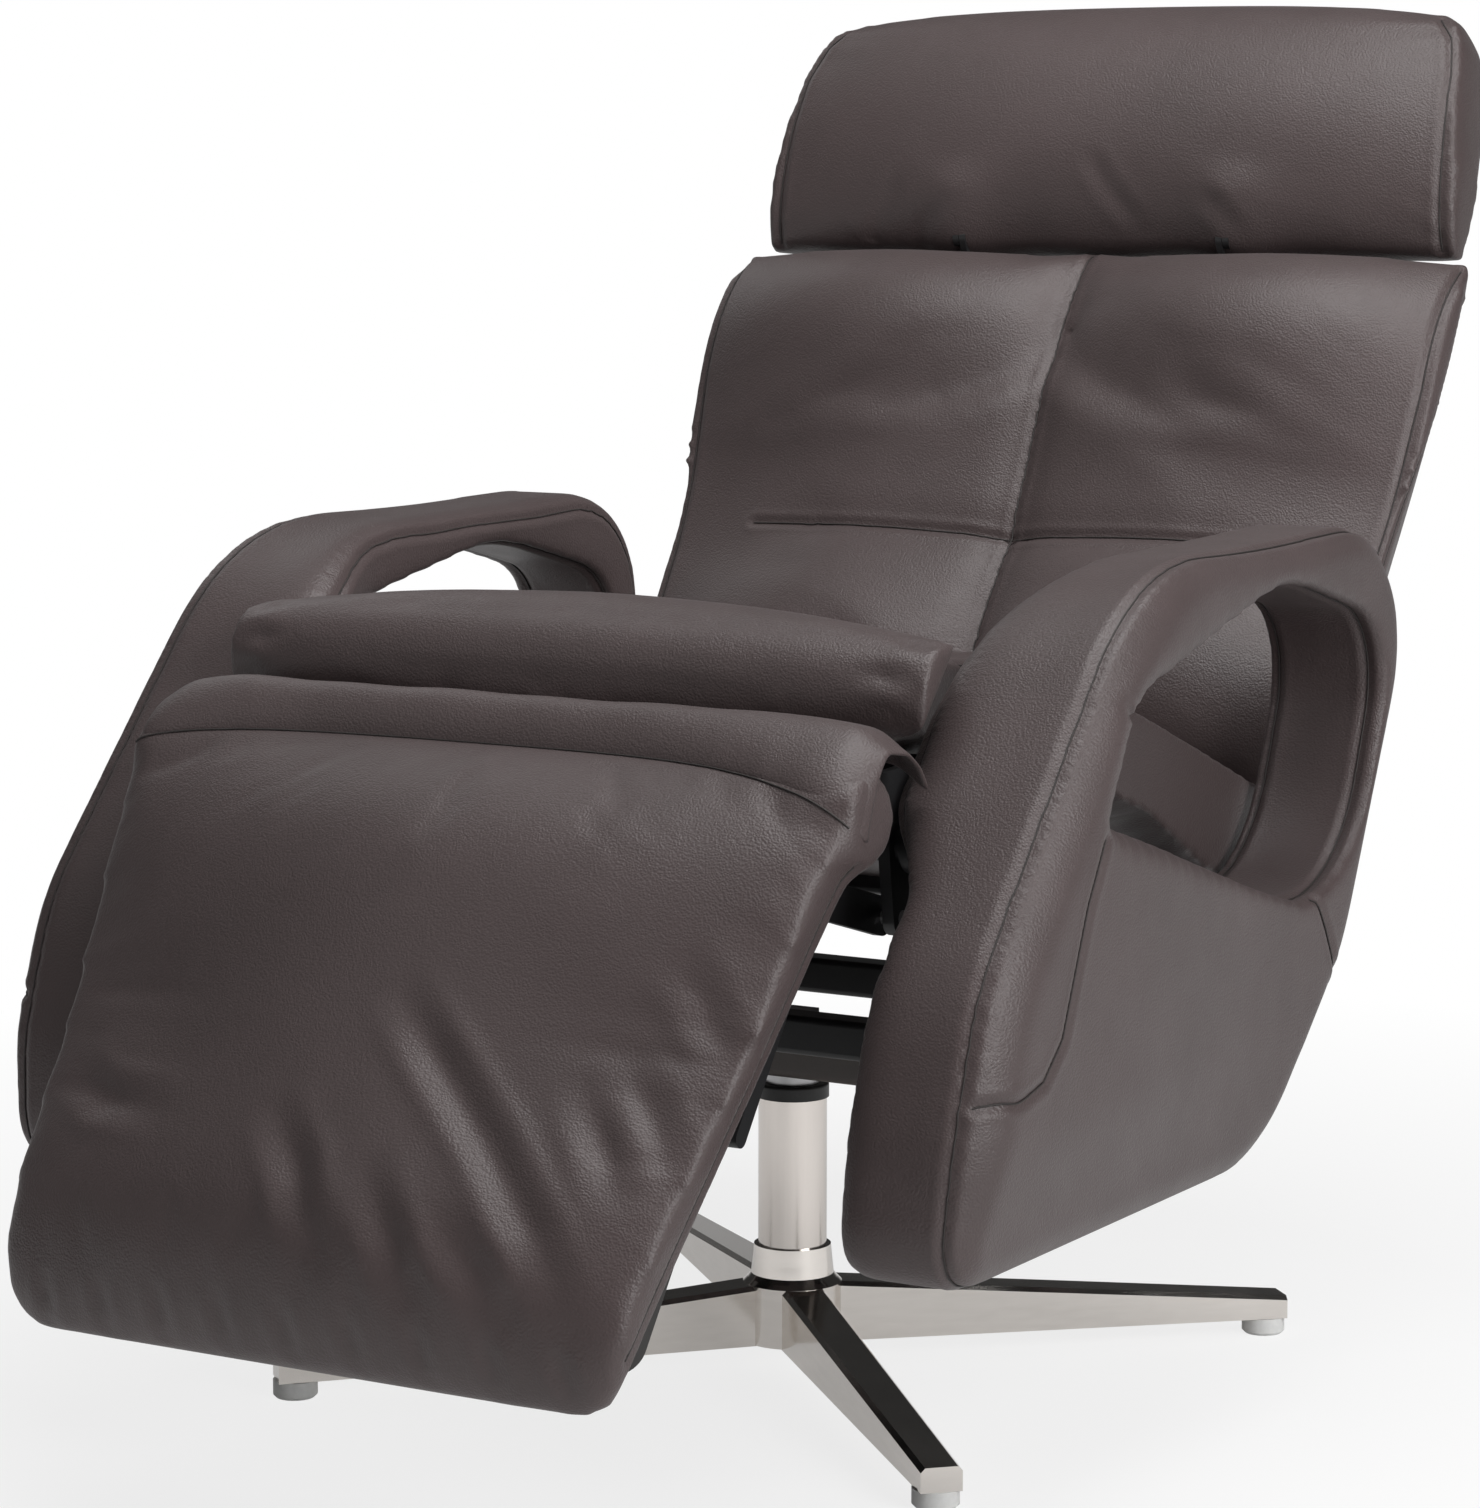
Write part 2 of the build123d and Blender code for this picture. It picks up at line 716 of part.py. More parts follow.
for name, side in sides:
    with BuildPart() as hinge_plate:
        with BuildSketch(section_plane(back_face, side * hinge_plate_inner)):
            add(eye_bar((0, 0), (hinge_plate_length, 0), pin_eye, back_tube_size / 2))
            with Locations((0, 0)):
                Circle(pin_diameter / 2 + running_gap, mode=Mode.SUBTRACT)
        extrude(amount=side * hinge_plate_thickness)
    keep(hinge_plate, f"{name}_hinge_plate")


def back_section(along, half, front, bulge):
    """A cut across the back cushion: drawn-in sides and two crowned panels."""
    shoulder = front - back_side_draw
    with BuildSketch(cross_plane(back_face, along), mode=Mode.PRIVATE) as section:
        with BuildLine():
            ThreePointArc((-half, shoulder), (-half / 2, front + bulge), (0, front - back_channel))
            ThreePointArc((0, front - back_channel), (half / 2, front + bulge), (half, shoulder))
            Polyline(
                (half, shoulder),
                (half - back_side_draw, back_rear_face),
                (back_side_draw - half, back_rear_face),
                (-half, shoulder),
            )
        make_face()
    return section.sketch


leaf_lane = 2 * leaf_thickness + leaf_gap
back_end_face = back_front_face - 2 * back_side_draw
back_seam_face = back_front_face - back_channel
back_seam_half_width = (back_low_half_width + back_half_width) / 2
back_sections = [
    back_section(back_bottom, back_low_half_width - back_side_draw, back_end_face, back_channel),
    back_section((back_bottom + back_seam) / 2, back_low_half_width, back_front_face, back_crown),
    back_section(back_seam, back_seam_half_width, back_seam_face, back_channel),
    back_section((back_seam + back_top) / 2, back_half_width, back_front_face, back_crown),
    back_section(back_top, back_half_width - back_side_draw / 3, back_end_face, back_channel),
]
with BuildPart() as back_cushion:
    loft(back_sections)
    for side in signs:
        with BuildSketch(section_plane(back_face, side * leaf_center - leaf_lane)):
            with Locations((back_top, back_rear_face)):
                Rectangle(2 * back_rear_face, 2 * (head_pivot_w - back_rear_face))
        extrude(amount=2 * leaf_lane, mode=Mode.SUBTRACT)
keep(back_cushion, "back_cushion")

# Rear cover of the back: a tapered tub, open to the front and below
cover_length = back_top - back_bottom
cover_width = 2 * (back_half_width - back_side_draw - cover_margin)
cover_opening = hinge_plate_inner + hinge_plate_thickness + cover_margin
with BuildPart() as back_cover:
    with BuildSketch(back_face.offset(back_rear_face - soft_gap)):
        with Locations((0, back_bottom + cover_length / 2)):
            RectangleRounded(cover_width, cover_length, cover_corner)
    extrude(amount=-cover_depth, taper=cover_taper)
    with BuildSketch(back_face.offset(back_rear_face - soft_gap)):
        with Locations((0, back_bottom - cover_wall + cover_length / 2)):
            RectangleRounded(cover_width - 2 * cover_wall, cover_length, cover_corner - cover_wall)
    extrude(amount=cover_wall - cover_depth, taper=cover_taper, mode=Mode.SUBTRACT)
    with BuildSketch(section_plane(back_face, -cover_opening)):
        with Locations((back_bottom, back_rear_face - cover_depth)):
            Rectangle(2 * cover_corner, 2 * (cover_depth - cover_wall))
    extrude(amount=2 * cover_opening, mode=Mode.SUBTRACT)
    for side in signs:
        with BuildSketch(section_plane(back_face, side * leaf_center - leaf_lane)):
            with Locations((back_top, back_rear_face / 2)):
                Rectangle(leaf_slot, back_tube_size + back_rear_face)
        extrude(amount=2 * leaf_lane, mode=Mode.SUBTRACT)
keep(back_cover, "back_cover")

# Headrest hinges: fixed leaves on the back frame, moving leaves on the headrest board, one pin each
head_pivot = (head_pivot_u, head_pivot_w)


def leaf_start(side):
    """Where the pair of leaves of one hinge starts across X, counted outwards."""
    return side * (leaf_center - leaf_lane / 2)


with BuildPart() as headrest_fixed_leaves:
    for side in signs:
        with BuildSketch(section_plane(back_face, leaf_start(side))):
            with Locations((back_tube_top + leaf_thickness / 2, 0)):
                Rectangle(leaf_thickness, back_tube_size)
            with Locations(head_pivot):
                Circle(leaf_eye)
            make_hull()
            with Locations(head_pivot):
                Circle(head_pin_diameter / 2 + seat_gap, mode=Mode.SUBTRACT)
        extrude(amount=side * leaf_thickness)
keep(headrest_fixed_leaves, "headrest_fixed_leaves")

head_board_bottom = head_bottom + head_board_margin
head_board_top = head_top - head_board_margin
leaf_tip = (head_board_bottom + head_board_margin, head_rear_face - head_board_thickness / 2)
with BuildPart() as headrest_leaves:
    for side in signs:
        with BuildSketch(section_plane(back_face, leaf_start(side) + side * (leaf_thickness + leaf_gap))):
            add(eye_bar(head_pivot, leaf_tip, leaf_eye, head_board_thickness / 2))
            with Locations(head_pivot):
                Circle(head_pin_diameter / 2 + running_gap, mode=Mode.SUBTRACT)
        extrude(amount=side * leaf_thickness)
keep(headrest_leaves, "headrest_leaves")

with BuildPart() as headrest_pins:
    for side in signs:
        with BuildSketch(section_plane(back_face, leaf_start(side))):
            with Locations(head_pivot):
                Circle(head_pin_diameter / 2)
        extrude(amount=side * leaf_lane)
keep(headrest_pins, "headrest_pins")

with BuildPart() as headrest_board:
    with BuildSketch(back_face.offset(head_rear_face)):
        with Locations((0, (head_board_bottom + head_board_top) / 2)):
            RectangleRounded(
                2 * (head_half_width - head_board_margin),
                head_board_top - head_board_bottom,
                head_board_margin,
            )
        for side in signs:
            with Locations((leaf_start(side) + side * (leaf_lane - leaf_thickness / 2), head_board_bottom)):
                Rectangle(leaf_thickness + 2 * seat_gap, 2 * head_board_slot, mode=Mode.SUBTRACT)
    extrude(amount=-head_board_thickness)
keep(headrest_board, "headrest_board")


def head_section(across, inset, crown):
    """The headrest's side outline: tucked lower edge, crowned front, rounded top."""
    front = head_front_face - inset
    top = head_top - inset
    tuck = (head_bottom, front - head_crown)
    lower = (head_bottom + head_crown, front)
    upper = (top - 2 * head_crown, front + head_crown / 2)
    crest = (top, front - head_crest_drop)
    heel = (top - head_crown, head_rear_face)
    with BuildSketch(section_plane(back_face, across), mode=Mode.PRIVATE) as section:
        with BuildLine():
            ThreePointArc(tuck, (head_bottom + head_crown / 4, front - head_crown / 2), lower)
            ThreePointArc(lower, ((lower[0] + upper[0]) / 2, front + crown), upper)
            ThreePointArc(upper, (top - head_crown / 2, front - head_crown / 4), crest)
            Polyline(crest, heel, (head_bottom, head_rear_face), tuck)
        make_face()
    return section.sketch


head_sections = []
for place, draw in end_draw:
    crown = (1 - draw / 2) * head_crown
    head_sections.append(head_section(place * head_half_width, draw * head_end_inset, crown))
with BuildPart() as headrest_cushion:
    loft(head_sections)
    for side in signs:
        with BuildSketch(back_face):
            with BuildLine():
                corner_foot = (side * head_half_width, head_bottom + head_corner)
                corner_start = (side * head_top_half_width, head_top - head_corner)
                corner_end = (side * (head_top_half_width - head_corner), head_top + head_crown / 4)
                corner_edge = Polyline(corner_foot, corner_start)
                TangentArc(corner_start, corner_end, tangent=corner_edge % 1)
                Polyline(
                    corner_end,
                    (corner_end[0], head_top + head_corner),
                    (side * (head_half_width + head_corner), head_top + head_corner),
                    (side * (head_half_width + head_corner), head_bottom + head_corner),
                    corner_foot,
                )
            make_face()
        extrude(amount=2 * head_front_face, mode=Mode.SUBTRACT)
    for side in signs:
        with BuildSketch(section_plane(back_face, leaf_start(side) - side * leaf_thickness)):
            with Locations((head_bottom, head_rear_face)):
                Rectangle(
                    2 * (leaf_tip[0] + leaf_eye - head_bottom),
                    2 * (head_pivot_w + leaf_eye + 2 * soft_gap - head_rear_face),
                )
        extrude(amount=side * (leaf_lane + 2 * leaf_thickness), mode=Mode.SUBTRACT)
keep(headrest_cushion, "headrest_cushion")

# Rear cover of the headrest, behind its board
with BuildPart() as headrest_cover:
    with BuildSketch(back_face.offset(head_rear_face - head_board_thickness)):
        with Locations((0, (head_board_bottom + head_board_top) / 2)):
            RectangleRounded(
                2 * (head_half_width - head_board_margin),
                head_board_top - head_board_bottom,
                head_board_margin,
            )
    extrude(amount=-head_cover_depth, taper=head_cover_taper)
keep(headrest_cover, "headrest_cover")


def foot_section(down, half, side_face, crown):
    """A cut across the footrest pad: flat back, drawn-in sides, crowned front."""
    with BuildSketch(cross_plane(foot_face, -down), mode=Mode.PRIVATE) as section:
        with BuildLine():
            ThreePointArc((-half, side_face), (0, side_face + crown), (half, side_face))
            Polyline(
                (half, side_face),
                (half - foot_side_draw, foot_back_face),
                (foot_side_draw - half, foot_back_face),
                (-half, side_face),
            )
        make_face()
    return section.sketch


# Footrest pad: its round upper end turns about the hinge axis
notch_inner = link_inner - pin_head_height - 2 * soft_gap
notch_outer = rail_outer + pin_head_height + soft_gap
notch_front = pin_head + soft_gap
toe_start = foot_length - foot_toe_corner
foot_profile = [
    (0, foot_side_face, foot_radius_top - foot_side_face),
    (foot_length / 3, foot_side_face, foot_crown),
    (2 * foot_length / 3, foot_side_face, foot_crown),
    (toe_start, foot_side_face / 2, foot_crown),
    (foot_length, foot_back_face / 2, foot_crown / 2),
]
foot_sections = []
for down, face, crown in foot_profile:
    half = foot_half_width - (foot_half_width - foot_toe_half_width) * down / foot_length
    foot_sections.append(foot_section(down, half, face, crown))
with BuildPart() as footrest_cushion:
    loft(foot_sections)
    for side in signs:
        with BuildSketch(foot_face.offset(2 * foot_back_face)):
            with BuildLine():
                corner_start = (side * (foot_toe_half_width + soft_gap), -toe_start)
                corner_end = (side * (foot_toe_half_width - foot_toe_corner), -foot_length - soft_gap)
                TangentArc(corner_start, corner_end, tangent=(0, -1))
                Polyline(
                    corner_end,
                    (corner_end[0], -foot_length - foot_toe_corner),
                    (side * foot_half_width, -foot_length - foot_toe_corner),
                    (side * foot_half_width, -toe_start),
                    corner_start,
                )
            make_face()
        extrude(amount=-4 * foot_back_face, mode=Mode.SUBTRACT)
    with BuildSketch(section_plane(foot_face, -foot_half_width)):
        Circle(foot_radius_top)
    extrude(amount=2 * foot_half_width)
    for side in signs:
        with BuildSketch(section_plane(foot_face, side * notch_inner)):
            with Locations((0, notch_front - foot_radius_top - notch_front / 2)):
                Rectangle(2 * foot_board_start, 2 * foot_radius_top + notch_front)
        extrude(amount=side * (notch_outer - notch_inner), mode=Mode.SUBTRACT)
keep(footrest_cushion, "footrest_cushion")

board_rear = foot_back_face - foot_board_thickness
board_end = foot_length - foot_board_margin
with BuildPart() as footrest_board:
    with BuildSketch(foot_face.offset(foot_back_face)):
        with Locations((0, -(foot_board_start + board_end) / 2)):
            RectangleRounded(
                2 * (foot_toe_half_width - foot_side_draw - soft_gap),
                board_end - foot_board_start,
                foot_board_margin / 2,
            )
    extrude(amount=-foot_board_thickness)
keep(footrest_board, "footrest_board")

# Footrest brackets: hinge eye, drive lever and a tail under the board
lever_pin = (-lever_length * sin(dip), -lever_length * cos(dip))
tail_middle = board_rear - bracket_depth / 2
tail_root = (-foot_board_start - bracket_depth / 2, tail_middle)
tail_end = (-bracket_tail, tail_middle)
for name, side in sides:
    with BuildPart() as footrest_bracket:
        with BuildSketch(section_plane(foot_face, side * bracket_inner)):
            add(eye_bar((0, 0), tail_root, pin_eye, bracket_depth / 2))
            add(eye_bar(tail_root, tail_end, bracket_depth / 2, bracket_depth / 2))
            add(eye_bar((0, 0), lever_pin, pin_eye, lever_eye))
            with Locations((0, 0)):
                Circle(pin_diameter / 2 + running_gap, mode=Mode.SUBTRACT)
            with Locations(lever_pin):
                Circle(lever_pin_diameter / 2 + seat_gap, mode=Mode.SUBTRACT)
        extrude(amount=side * bracket_thickness)
    keep(footrest_bracket, f"{name}_footrest_bracket")

foot_lever_pivot = (foot_pivot[0], foot_pivot[1] - lever_length)
crank_lever_pivot = (crank_pivot[0], crank_pivot[1] - lever_length)
bracket_outer = bracket_inner + bracket_thickness


def drive_pins(pivot):
    """A pair of pins from the lever or crank arms in through the drag links."""
    with BuildPart() as pins:
        for side in signs:
            with BuildSketch(side_plane(side, bracket_outer)):
                with Locations(pivot):
                    Circle(lever_pin_diameter / 2)
            extrude(amount=side * (link_inner - pin_head_height - bracket_outer))
            with BuildSketch(side_plane(side, link_inner - soft_gap)):
                with Locations(pivot):
                    Circle(lever_pin_diameter / 2 + pin_clip_width)
                    Circle(lever_pin_diameter / 2, mode=Mode.SUBTRACT)
            extrude(amount=side * (soft_gap - pin_head_height))
    return pins


keep(drive_pins(foot_lever_pivot), "lever_pins")
keep(drive_pins(crank_lever_pivot), "crank_pins")

# Crank: a torque tube through both seat rails with an arm clamped on near each end
with BuildPart() as crank_tube:
    with BuildSketch(Plane.YZ.offset(-rail_outer)):
        with Locations(crank_pivot):
            Circle(crank_tube_diameter / 2)
            Circle(crank_tube_diameter / 2 - crank_tube_wall, mode=Mode.SUBTRACT)
    extrude(amount=2 * rail_outer)
keep(crank_tube, "crank_tube")

for name, side in sides:
    with BuildPart() as crank_arm:
        with BuildSketch(side_plane(side, bracket_inner)):
            add(eye_bar(crank_pivot, crank_lever_pivot, crank_eye, lever_eye))
            with Locations(crank_pivot):
                Circle(crank_tube_diameter / 2 + seat_gap, mode=Mode.SUBTRACT)
            with Locations(crank_lever_pivot):
                Circle(lever_pin_diameter / 2 + seat_gap, mode=Mode.SUBTRACT)
        extrude(amount=side * bracket_thickness)
    keep(crank_arm, f"{name}_crank_arm")

# Drag links: the front eye is the open pivot of the linkage
for name, side in sides:
    with BuildPart() as drag_link:
        with BuildSketch(side_plane(side, link_inner)):
            add(eye_bar(foot_lever_pivot, crank_lever_pivot, link_eye, link_eye))
            with Locations(foot_lever_pivot):
                Circle(lever_pin_diameter / 2 + open_pivot_gap, mode=Mode.SUBTRACT)
            with Locations(crank_lever_pivot):
                Circle(lever_pin_diameter / 2 + running_gap, mode=Mode.SUBTRACT)
        extrude(amount=side * link_thickness)
    keep(drag_link, f"{name}_drag_link")
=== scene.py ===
import json
import math

import bmesh
import bpy
import numpy as np
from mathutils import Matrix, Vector
from mathutils.bvhtree import BVHTree
from mathutils.kdtree import KDTree


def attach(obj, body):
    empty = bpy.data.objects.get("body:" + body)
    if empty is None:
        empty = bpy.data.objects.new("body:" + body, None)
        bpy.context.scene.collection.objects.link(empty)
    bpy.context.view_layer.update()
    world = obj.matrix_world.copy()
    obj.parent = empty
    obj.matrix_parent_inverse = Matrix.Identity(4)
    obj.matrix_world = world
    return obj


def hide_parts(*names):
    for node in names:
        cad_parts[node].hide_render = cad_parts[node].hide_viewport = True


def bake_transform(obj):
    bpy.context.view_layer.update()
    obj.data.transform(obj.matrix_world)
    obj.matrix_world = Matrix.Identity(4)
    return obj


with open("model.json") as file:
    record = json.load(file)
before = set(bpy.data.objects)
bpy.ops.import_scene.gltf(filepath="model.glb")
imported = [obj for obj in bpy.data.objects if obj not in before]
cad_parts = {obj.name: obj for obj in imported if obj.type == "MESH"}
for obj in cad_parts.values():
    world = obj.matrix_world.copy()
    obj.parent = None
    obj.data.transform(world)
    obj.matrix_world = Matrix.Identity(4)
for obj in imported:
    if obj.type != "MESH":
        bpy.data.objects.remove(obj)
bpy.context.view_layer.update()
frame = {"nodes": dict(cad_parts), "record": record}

# A swivel recliner in dark leather. Metres, +Z up, the sitter faces -Y, the sitter's left is +X.
nodes = frame["nodes"]
scene = bpy.context.scene
sides = [("left", 1), ("right", -1)]

# Camera: solved from the photograph, for a 1480 by 1508 picture
photo_long_side = 1508
focal_pixels = 4495
sensor = 36.0
camera_azimuth = math.radians(30.15)
camera_yaw = math.radians(0.684)
camera_pitch = math.radians(7.419)
camera_distance = 3.022
camera_height = 0.817

# Frames of the seat, the back and the footrest, as in the construction
seat_slope = math.radians(20.0)
seat_datum = 0.400
back_lean = math.radians(30.0)
back_pivot = (0.258, 0.325)
foot_dip = math.radians(54.3)
foot_pivot = (-0.359, 0.442)

# Arm loop and hand hole: corners (Y, Z) and their rounding
arm_corners = [
    (-0.420, 0.176), (-0.366, 0.345), (-0.165, 0.575),
    (0.282, 0.584), (0.140, 0.290), (0.010, 0.176),
]
arm_radii = [0.030, 0.150, 0.190, 0.085, 0.200, 0.150]
hole_corners = [(-0.254, 0.425), (-0.202, 0.510), (0.040, 0.556), (0.212, 0.512), (0.139, 0.322)]
hole_radii = [0.014, 0.060, 0.200, 0.055, 0.110]

# Arm seams: how far across they lie, and the two seams on the outer face (Y, Z)
arm_outer_seam = 0.336
arm_inner_seam = 0.270
arm_back_seam = 0.236
arm_face = 0.348
crescent = [
    (-0.254, 0.424), (-0.276, 0.388), (-0.292, 0.351), (-0.308, 0.314),
    (-0.332, 0.293), (-0.362, 0.286), (-0.396, 0.288),
]
rear_dart = [(0.082, 0.346), (0.100, 0.320), (0.121, 0.284)]

# Filling of the arms at their front: how far it swells them outwards, inwards and along the crown,
# where across each swelling starts, and the middle of the loop as seen from the side
arm_swell = 0.012
arm_inner_swell = 0.042
arm_crown = 0.010
arm_outer_start = 0.29
arm_inner_start = 0.31
arm_middle = 0.295
arm_reach = 0.05
arm_heart = (0, 0, 0.45)

# Leather: size of a skin's faces, seams, a fold's banks as a share of its depth, and thread.
# A mark is pressed in over a number of its widths
voxel = 0.006
fine_voxel = 0.005
finest_voxel = 0.004
seam_depth = 0.0022
seam_width = 0.0034
seam_bank = 0.0005
fold_bank = 0.35
mark_reach = 3.5
thread_radius = 0.0006

simulated_pictures = 20
deepest_dip = 0.001
skin_inset = 0.003


def at_seat(x, along, out):
    """A point in the seat's frame: along it towards the back, and out of its top."""
    y = along * math.cos(seat_slope) + out * math.sin(seat_slope)
    z = seat_datum - along * math.sin(seat_slope) + out * math.cos(seat_slope)
    return Vector((x, y, z))


def at_back(x, up, out):
    """A point in the back's frame: up it, and out of its front."""
    y = back_pivot[0] + up * math.sin(back_lean) - out * math.cos(back_lean)
    z = back_pivot[1] + up * math.cos(back_lean) + out * math.sin(back_lean)
    return Vector((x, y, z))


def at_foot(x, down, out):
    """A point in the footrest's frame: down it towards the toes, and out of its front."""
    y = foot_pivot[0] - down * math.cos(foot_dip) - out * math.sin(foot_dip)
    z = foot_pivot[1] - down * math.sin(foot_dip) + out * math.cos(foot_dip)
    return Vector((x, y, z))


def ways(locate):
    """Two directions of a cushion's frame: along its face, and into it."""
    origin = locate(0, 0, 0)
    return locate(0, 1, 0) - origin, origin - locate(0, 0, 1)


along_seat, into_seat = ways(at_seat)
up_back, into_back = ways(at_back)
down_foot, into_foot = ways(at_foot)


# Lines
def rounded(corners, radii, step=0.006):
    """A closed outline with each corner rounded, as evenly spaced (Y, Z) points."""
    arcs = []
    count = len(corners)
    for index in range(count):
        corner = Vector(corners[index])
        before = (Vector(corners[index - 1]) - corner).normalized()
        after = (Vector(corners[(index + 1) % count]) - corner).normalized()
        half = before.angle(after) / 2
        start = corner + before * (radii[index] / math.tan(half))
        end = corner + after * (radii[index] / math.tan(half))
        middle = corner + (before + after).normalized() * (radii[index] / math.sin(half))
        sweep = (start - middle).angle(end - middle)
        steps = max(2, int(radii[index] * sweep / step))
        for i in range(steps + 1):
            share = i / steps
            spoke = (start - middle) * math.sin((1 - share) * sweep)
            spoke += (end - middle) * math.sin(share * sweep)
            arcs.append(middle + spoke / math.sin(sweep))
    return spread([*arcs, arcs[0]], step)


def resample(points, count):
    """A number of evenly spaced points along a line of points."""
    line = np.array([list(p) for p in points], float)
    lengths = np.concatenate([[0], np.cumsum(np.linalg.norm(np.diff(line, axis=0), axis=1))])
    places = np.linspace(0, lengths[-1], count)
    return np.stack([np.interp(places, lengths, line[:, k]) for k in range(line.shape[1])], axis=1)


def spread(points, step=0.004):
    """Points along a line of points, evenly spaced by about a step."""
    line = np.array([list(p) for p in points], float)
    return resample(line, max(2, int(np.linalg.norm(np.diff(line, axis=0), axis=1).sum() / step) + 1))


def bezier(controls, count):
    """A number of points along a cubic curve, without its first one."""
    curve = []
    for share in np.linspace(0, 1, count + 1)[1:]:
        rest = 1 - share
        weights = (rest ** 3, 3 * rest ** 2 * share, 3 * rest * share ** 2, share ** 3)
        curve.append(sum(weight * point for weight, point in zip(weights, controls)))
    return curve


def upright(path, x):
    """A (Y, Z) line stood up at a distance across."""
    return [(x, y, z) for y, z in path]


def drawn(locate, pairs, side=1):
    """A line drawn on a cushion's face from (across, along) pairs, mirrored on the right side."""
    return [locate(side * x, along, 0) for x, along in pairs]


# Soft steps
def ease(share):
    """A soft step from 0 to 1."""
    share = np.clip(share, 0, 1)
    return share * share * (3 - 2 * share)


def rising(value, start, over):
    """0 up to a start, and 1 from a length past it on."""
    return ease((value - start) / over)


def falling(value, start, over):
    """0 above a start, and 1 from a length below it on."""
    return ease((start - value) / over)


# Mesh helpers
def points_of(obj):
    co = np.empty(len(obj.data.vertices) * 3, np.float32)
    obj.data.vertices.foreach_get("co", co)
    return co.reshape(-1, 3).astype(float)


def normals_of(obj):
    no = np.empty(len(obj.data.vertices) * 3, np.float32)
    obj.data.vertices.foreach_get("normal", no)
    return no.reshape(-1, 3).astype(float)


def move_points(obj, points):
    obj.data.vertices.foreach_set("co", points.astype(np.float32).ravel())
    obj.data.update()


def link(obj):
    scene.collection.objects.link(obj)
    return obj


def bake(obj):
    """Put the result of a piece's modifiers into its mesh."""
    depsgraph = bpy.context.evaluated_depsgraph_get()
    mesh = bpy.data.meshes.new_from_object(obj.evaluated_get(depsgraph))
    obj.modifiers.clear()
    old = obj.data
    obj.data = mesh
    bpy.data.meshes.remove(old)
    return obj


def close_hull(mesh):
    """Replace a mesh by its convex hull, which closes the slots cut in it for hinges."""
    shape = bmesh.new()
    for vertex in mesh.vertices:
        shape.verts.new(vertex.co)
    hull = bmesh.ops.convex_hull(shape, input=shape.verts)
    enclosed = [item for item in hull["geom_interior"] if isinstance(item, bmesh.types.BMVert)]
    bmesh.ops.delete(shape, geom=enclosed, context="VERTS")
    shape.to_mesh(mesh)
    shape.free()


def skin_of(solid, name, size=voxel, closed=False):
    """An even closed skin over a CAD solid, as a new piece."""
    obj = link(bpy.data.objects.new(name, nodes[solid].data.copy()))
    obj.data.materials.clear()
    if closed:
        close_hull(obj.data)
    remesh = obj.modifiers.new("skin", "REMESH")
    remesh.mode = "VOXEL"
    remesh.voxel_size = size
    return bake(obj)


def smooth(obj, rounds):
    modifier = obj.modifiers.new("smooth", "SMOOTH")
    modifier.iterations = rounds
    modifier.factor = 0.5
    return bake(obj)


def subdivide(obj):
    modifier = obj.modifiers.new("subdivide", "SUBSURF")
    modifier.levels = 1
    modifier.render_levels = 1
    bake(obj)
    obj.data.shade_smooth()


# Cushions
def distance_along(obj, origin, way):
    """How far each point of a skin lies from an origin along a direction."""
    return (points_of(obj) - np.array(origin)) @ np.array(way)


def height(obj, origin, inwards):
    """How far each point of a skin stands out of a face."""
    return -distance_along(obj, origin, inwards)


def flanks(obj):
    """How far each point belongs to a cushion's two ends, which their boxing keeps in place: 0 to 1.
    It counts how squarely the point faces sideways."""
    return np.clip(2 * np.abs(normals_of(obj)[:, 0]) - 0.5, 0, 1)


def held_under(obj, origin, inwards, level):
    """True for the points of a skin under a level over a face, and for those of its two ends."""
    return (height(obj, origin, inwards) < level) | (flanks(obj) == 1)


def inset(obj, amount):
    """Draw a skin in by an amount, so that its filling can swell it out again. Its two ends stay."""
    move_points(obj, points_of(obj) - normals_of(obj) * (amount * (1 - flanks(obj)))[:, None])


def inflate(obj, pressure, cap, held, slack=0.0):
    """Swell a skin as its filling does, by cloth simulation, and keep each point's lift within a cap.
    held is True for the points that something behind them keeps in place; slack is how much too large
    the leather is cut, as a share, which is what wrinkles it."""
    start = points_of(obj)
    outward = normals_of(obj)
    group = obj.vertex_groups.new(name="held")
    group.add([int(i) for i in np.flatnonzero(held)], 1.0, "REPLACE")
    cloth = obj.modifiers.new("filling", "CLOTH")
    cloth.settings.quality = 4
    cloth.settings.mass = 0.3
    cloth.settings.tension_stiffness = 15
    cloth.settings.compression_stiffness = 15
    cloth.settings.bending_stiffness = 0.5
    cloth.settings.use_pressure = True
    cloth.settings.uniform_pressure_force = pressure
    cloth.settings.shrink_min = -slack
    cloth.settings.effector_weights.gravity = 0
    cloth.settings.vertex_group_mass = group.name
    cloth.collision_settings.use_collision = False
    for number in range(1, simulated_pictures + 1):
        scene.frame_set(number)
    bake(obj)
    scene.frame_set(1)
    lift = ((points_of(obj) - start) * outward).sum(1)
    move_points(obj, start + outward * np.clip(lift, -deepest_dip, cap)[:, None])
    obj.vertex_groups.clear()


# Seams and folds
def surface(obj):
    """A skin as a tree of faces, to find places on."""
    return BVHTree.FromPolygons([v.co for v in obj.data.vertices], [p.vertices[:] for p in obj.data.polygons])


def places_of(hits):
    """The points and the normals of a list of places found on a skin."""
    return np.array([list(hit[0]) for hit in hits]), np.array([list(hit[1]) for hit in hits])


def cast(skin, path, towards, step=0.003, run_up=0.3):
    """A line thrown onto a skin from outside it, in one direction: its points there and the skin's normals.
    Where a point misses the skin, the skin's nearest point is taken."""
    way = Vector(towards).normalized()
    hits = []
    for point in spread(path, step):
        hit = skin.ray_cast(Vector(point) - way * run_up, way)
        hits.append(hit if hit[0] is not None else skin.find_nearest(Vector(point)))
    return places_of(hits)


